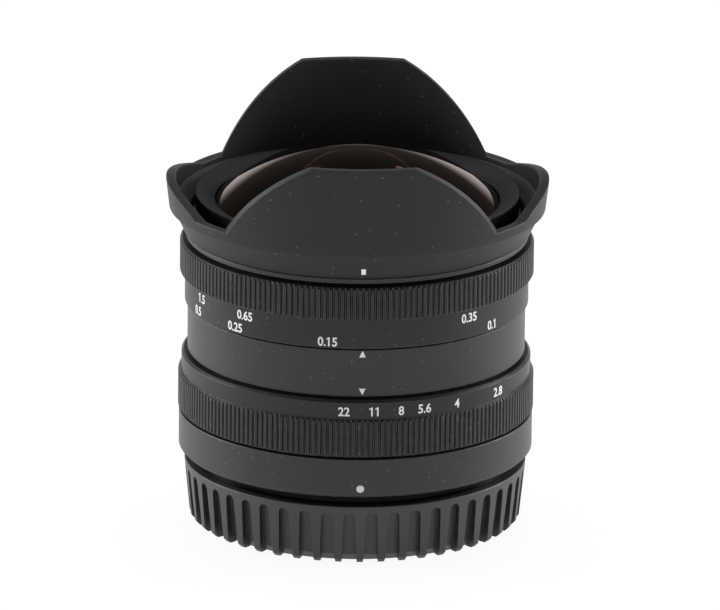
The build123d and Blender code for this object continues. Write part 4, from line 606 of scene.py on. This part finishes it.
def wrap(mesh, data, radius, angle, z):
    """Lay a flat mesh on a cylinder round the axis and give it a little thickness."""
    flat = bmesh.new()
    flat.from_mesh(data)
    bmesh.ops.triangulate(flat, faces=flat.faces)
    bmesh.ops.subdivide_edges(flat, edges=[e for e in flat.edges if e.calc_length() > PAINT_FACET], cuts=2)
    top, bottom = {}, {}
    for v in flat.verts:
        place = angle + v.co.x / radius
        for layer, lift in ((top, PAINT_LIFT), (bottom, PAINT_LIFT - PAINT_DEPTH)):
            r = radius + lift
            layer[v] = mesh.verts.new((r * cos(place), r * sin(place), z + v.co.y))
    for face in flat.faces:
        mesh.faces.new([top[v] for v in face.verts])
        mesh.faces.new([bottom[v] for v in reversed(face.verts)])
    for edge in flat.edges:
        if len(edge.link_faces) == 1:
            a, b = edge.verts
            mesh.faces.new((top[a], top[b], bottom[b], bottom[a]))
    flat.free()


def make_figures(name, radius, rows):
    """Painted figures of one ring."""
    mesh = bmesh.new()
    for z, row in rows:
        for words, turn in row:
            wrap(mesh, flat_text(words), radius, INDEX_ANGLE + radians(turn), z)
    return mesh_piece(name, mesh)


def make_index_marks():
    """Two painted triangles that point at the rings above and below."""
    mesh = bmesh.new()
    for tip_z, foot_z in INDEX_MARKS:
        data = bpy.data.meshes.new("mark")
        middle = (tip_z + foot_z) / 2
        corners = [(-INDEX_MARK_HALF, foot_z - middle, 0), (INDEX_MARK_HALF, foot_z - middle, 0),
                   (0, tip_z - middle, 0)]
        data.from_pydata(corners, [], [(0, 1, 2)])
        wrap(mesh, data, BARREL_BAND_R, INDEX_ANGLE + INDEX_MARK_TURN, middle)
    return mesh_piece("index_marks", mesh)


def make_hood_mark():
    """Painted square that follows the flare of the hood's foot."""
    mesh = bmesh.new()
    edges = []
    for x in (HOOD_MARK_X - HOOD_MARK_HALF, HOOD_MARK_X + HOOD_MARK_HALF):
        top, bottom = [], []
        for step in range(HOOD_MARK_STEPS + 1):
            z = HOOD_MARK_Z + HOOD_MARK_TALL * step / HOOD_MARK_STEPS
            r = hood_flare_r(z)
            for layer, lift in ((top, PAINT_LIFT), (bottom, PAINT_LIFT - PAINT_DEPTH)):
                layer.append(mesh.verts.new((x, -sqrt((r + lift) ** 2 - x ** 2), z)))
        edges += [top, bottom]
    left, left_under, right, right_under = edges
    for a in range(HOOD_MARK_STEPS):
        b = a + 1
        mesh.faces.new((left[a], right[a], right[b], left[b]))
        mesh.faces.new((left_under[a], left_under[b], right_under[b], right_under[a]))
        mesh.faces.new((left[a], left[b], left_under[b], left_under[a]))
        mesh.faces.new((right[a], right_under[a], right_under[b], right[b]))
    mesh.faces.new((left[0], left_under[0], right_under[0], right[0]))
    mesh.faces.new((left[-1], right[-1], right_under[-1], left_under[-1]))
    return mesh_piece("hood_mark", mesh)


def make_camera():
    """Camera at the photograph's angle, with a long lens."""
    forward = Vector((sin(VIEW_TURN) * cos(VIEW_ELEVATION), cos(VIEW_TURN) * cos(VIEW_ELEVATION),
                      -sin(VIEW_ELEVATION)))
    right = Vector((cos(VIEW_TURN), -sin(VIEW_TURN), 0))
    up = right.cross(forward)
    rolled_right = right * cos(VIEW_ROLL) + up * sin(VIEW_ROLL)
    rolled_up = up * cos(VIEW_ROLL) - right * sin(VIEW_ROLL)
    matrix = Matrix((rolled_right, rolled_up, -forward)).transposed().to_4x4()
    pivot = Vector((0, 0, VIEW_PIVOT_Z))
    matrix.translation = pivot + right * VIEW_SIDE - up * VIEW_DROP - forward * VIEW_DISTANCE
    data = bpy.data.cameras.new("camera")
    data.sensor_width = SENSOR_WIDTH
    data.sensor_fit = "HORIZONTAL"
    data.lens = FOCAL_PIXELS / PICTURE_WIDTH * SENSOR_WIDTH
    data.clip_end = VIEW_REACH
    camera = link(bpy.data.objects.new("camera", data))
    camera.matrix_world = matrix
    bpy.context.scene.camera = camera


def make_world():
    """White walls under a dim ceiling."""
    bpy.context.scene.view_settings.view_transform = "Standard"
    world = bpy.data.worlds.new("world")
    bpy.context.scene.world = world
    world.use_nodes = True
    nodes, links = world.node_tree.nodes, world.node_tree.links
    way = nodes.new("ShaderNodeTexCoord")
    height = nodes.new("ShaderNodeSeparateXYZ")
    level = nodes.new("ShaderNodeMapRange")
    set_ranges(level, WALL_HEIGHTS, WALL_LEVELS)
    links.new(way.outputs["Generated"], height.inputs[0])
    links.new(height.outputs["Z"], level.inputs["Value"])
    links.new(level.outputs["Result"], nodes["Background"].inputs["Strength"])
    nodes["Background"].inputs["Color"].default_value = WHITE


def seen_rays(tree):
    """1 for the rays that show the background: of the camera, of gloss and of glass."""
    path = tree.nodes.new("ShaderNodeLightPath")
    total = path.outputs["Is Camera Ray"]
    for name in ("Is Glossy Ray", "Is Transmission Ray"):
        either = tree.nodes.new("ShaderNodeMath")
        either.operation = "MAXIMUM"
        tree.links.new(total, either.inputs[0])
        tree.links.new(path.outputs[name], either.inputs[1])
        total = either.outputs[0]
    return total


def make_floor():
    """Pale floor, nearly white to the eye, which still takes the lens's shadow."""
    mesh = bmesh.new()
    bmesh.ops.create_grid(mesh, x_segments=1, y_segments=1, size=FLOOR_REACH)
    floor = mesh_piece("floor", mesh)
    material = bpy.data.materials.new("floor")
    material.use_nodes = True
    tree = material.node_tree
    tree.nodes.remove(tree.nodes["Principled BSDF"])
    diffuse = tree.nodes.new("ShaderNodeBsdfDiffuse")
    diffuse.inputs["Color"].default_value = grey(FLOOR_TONE)
    glow = tree.nodes.new("ShaderNodeEmission")
    glow.inputs["Color"].default_value = WHITE
    share = tree.nodes.new("ShaderNodeMath")
    share.operation = "MULTIPLY"
    share.inputs[1].default_value = FLOOR_GLOW
    mix = tree.nodes.new("ShaderNodeMixShader")
    tree.links.new(seen_rays(tree), share.inputs[0])
    tree.links.new(share.outputs[0], mix.inputs[0])
    tree.links.new(diffuse.outputs[0], mix.inputs[1])
    tree.links.new(glow.outputs[0], mix.inputs[2])
    tree.links.new(mix.outputs[0], tree.nodes["Material Output"].inputs["Surface"])
    floor.data.materials.append(material)


def softbox(name, azimuth, height, distance, width, tall, power, reflected=True):
    """Area lamp standing round the lens, aimed at it."""
    data = bpy.data.lights.new(name, "AREA")
    data.shape = "RECTANGLE"
    data.size = width
    data.size_y = tall
    data.energy = power
    lamp = link(bpy.data.objects.new(name, data))
    place = Vector((sin(radians(azimuth)) * distance, -cos(radians(azimuth)) * distance, height))
    lamp.location = place
    lamp.rotation_euler = (place - Vector((0, 0, SOFTBOX_AIM_Z))).to_track_quat("Z", "Y").to_euler()
    lamp.visible_glossy = reflected
    lamp.visible_transmission = reflected


make_camera()
make_world()
make_floor()
softbox("left_softbox", azimuth=-105, height=0.25, distance=0.9, width=0.35, tall=0.7, power=9)
softbox("right_softbox", azimuth=105, height=0.25, distance=0.9, width=0.35, tall=0.7, power=9)
softbox("top_softbox", azimuth=180, height=1.0, distance=0.25, width=0.8, tall=0.6, power=15, reflected=False)

finishes = make_finishes()
slots = {entry["node"]: entry["material_slot"] for entry in frame["record"]["subparts"]}
for node, obj in frame["nodes"].items():
    if obj.material_slots:
        obj.material_slots[0].material = finishes[slots[node]]
    else:
        obj.data.materials.append(finishes[slots[node]])

hood = make_hood()
hood.data.materials.append(finishes["hood_black"])
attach(hood, "hood")
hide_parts("lens_hood")

focus_rows = ((UPPER_FIGURES_Z, UPPER_FIGURES), (LOWER_FIGURES_Z, LOWER_FIGURES))
for piece, body in (
    (make_figures("aperture_figures", APERTURE_BAND_R, ((APERTURE_FIGURES_Z, APERTURE_FIGURES),)), "aperture"),
    (make_figures("focus_figures", FOCUS_BAND_R, focus_rows), "focus"),
    (make_index_marks(), "barrel"),
    (make_hood_mark(), "hood"),
):
    piece.data.materials.append(finishes["index_white"])
    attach(piece, body)
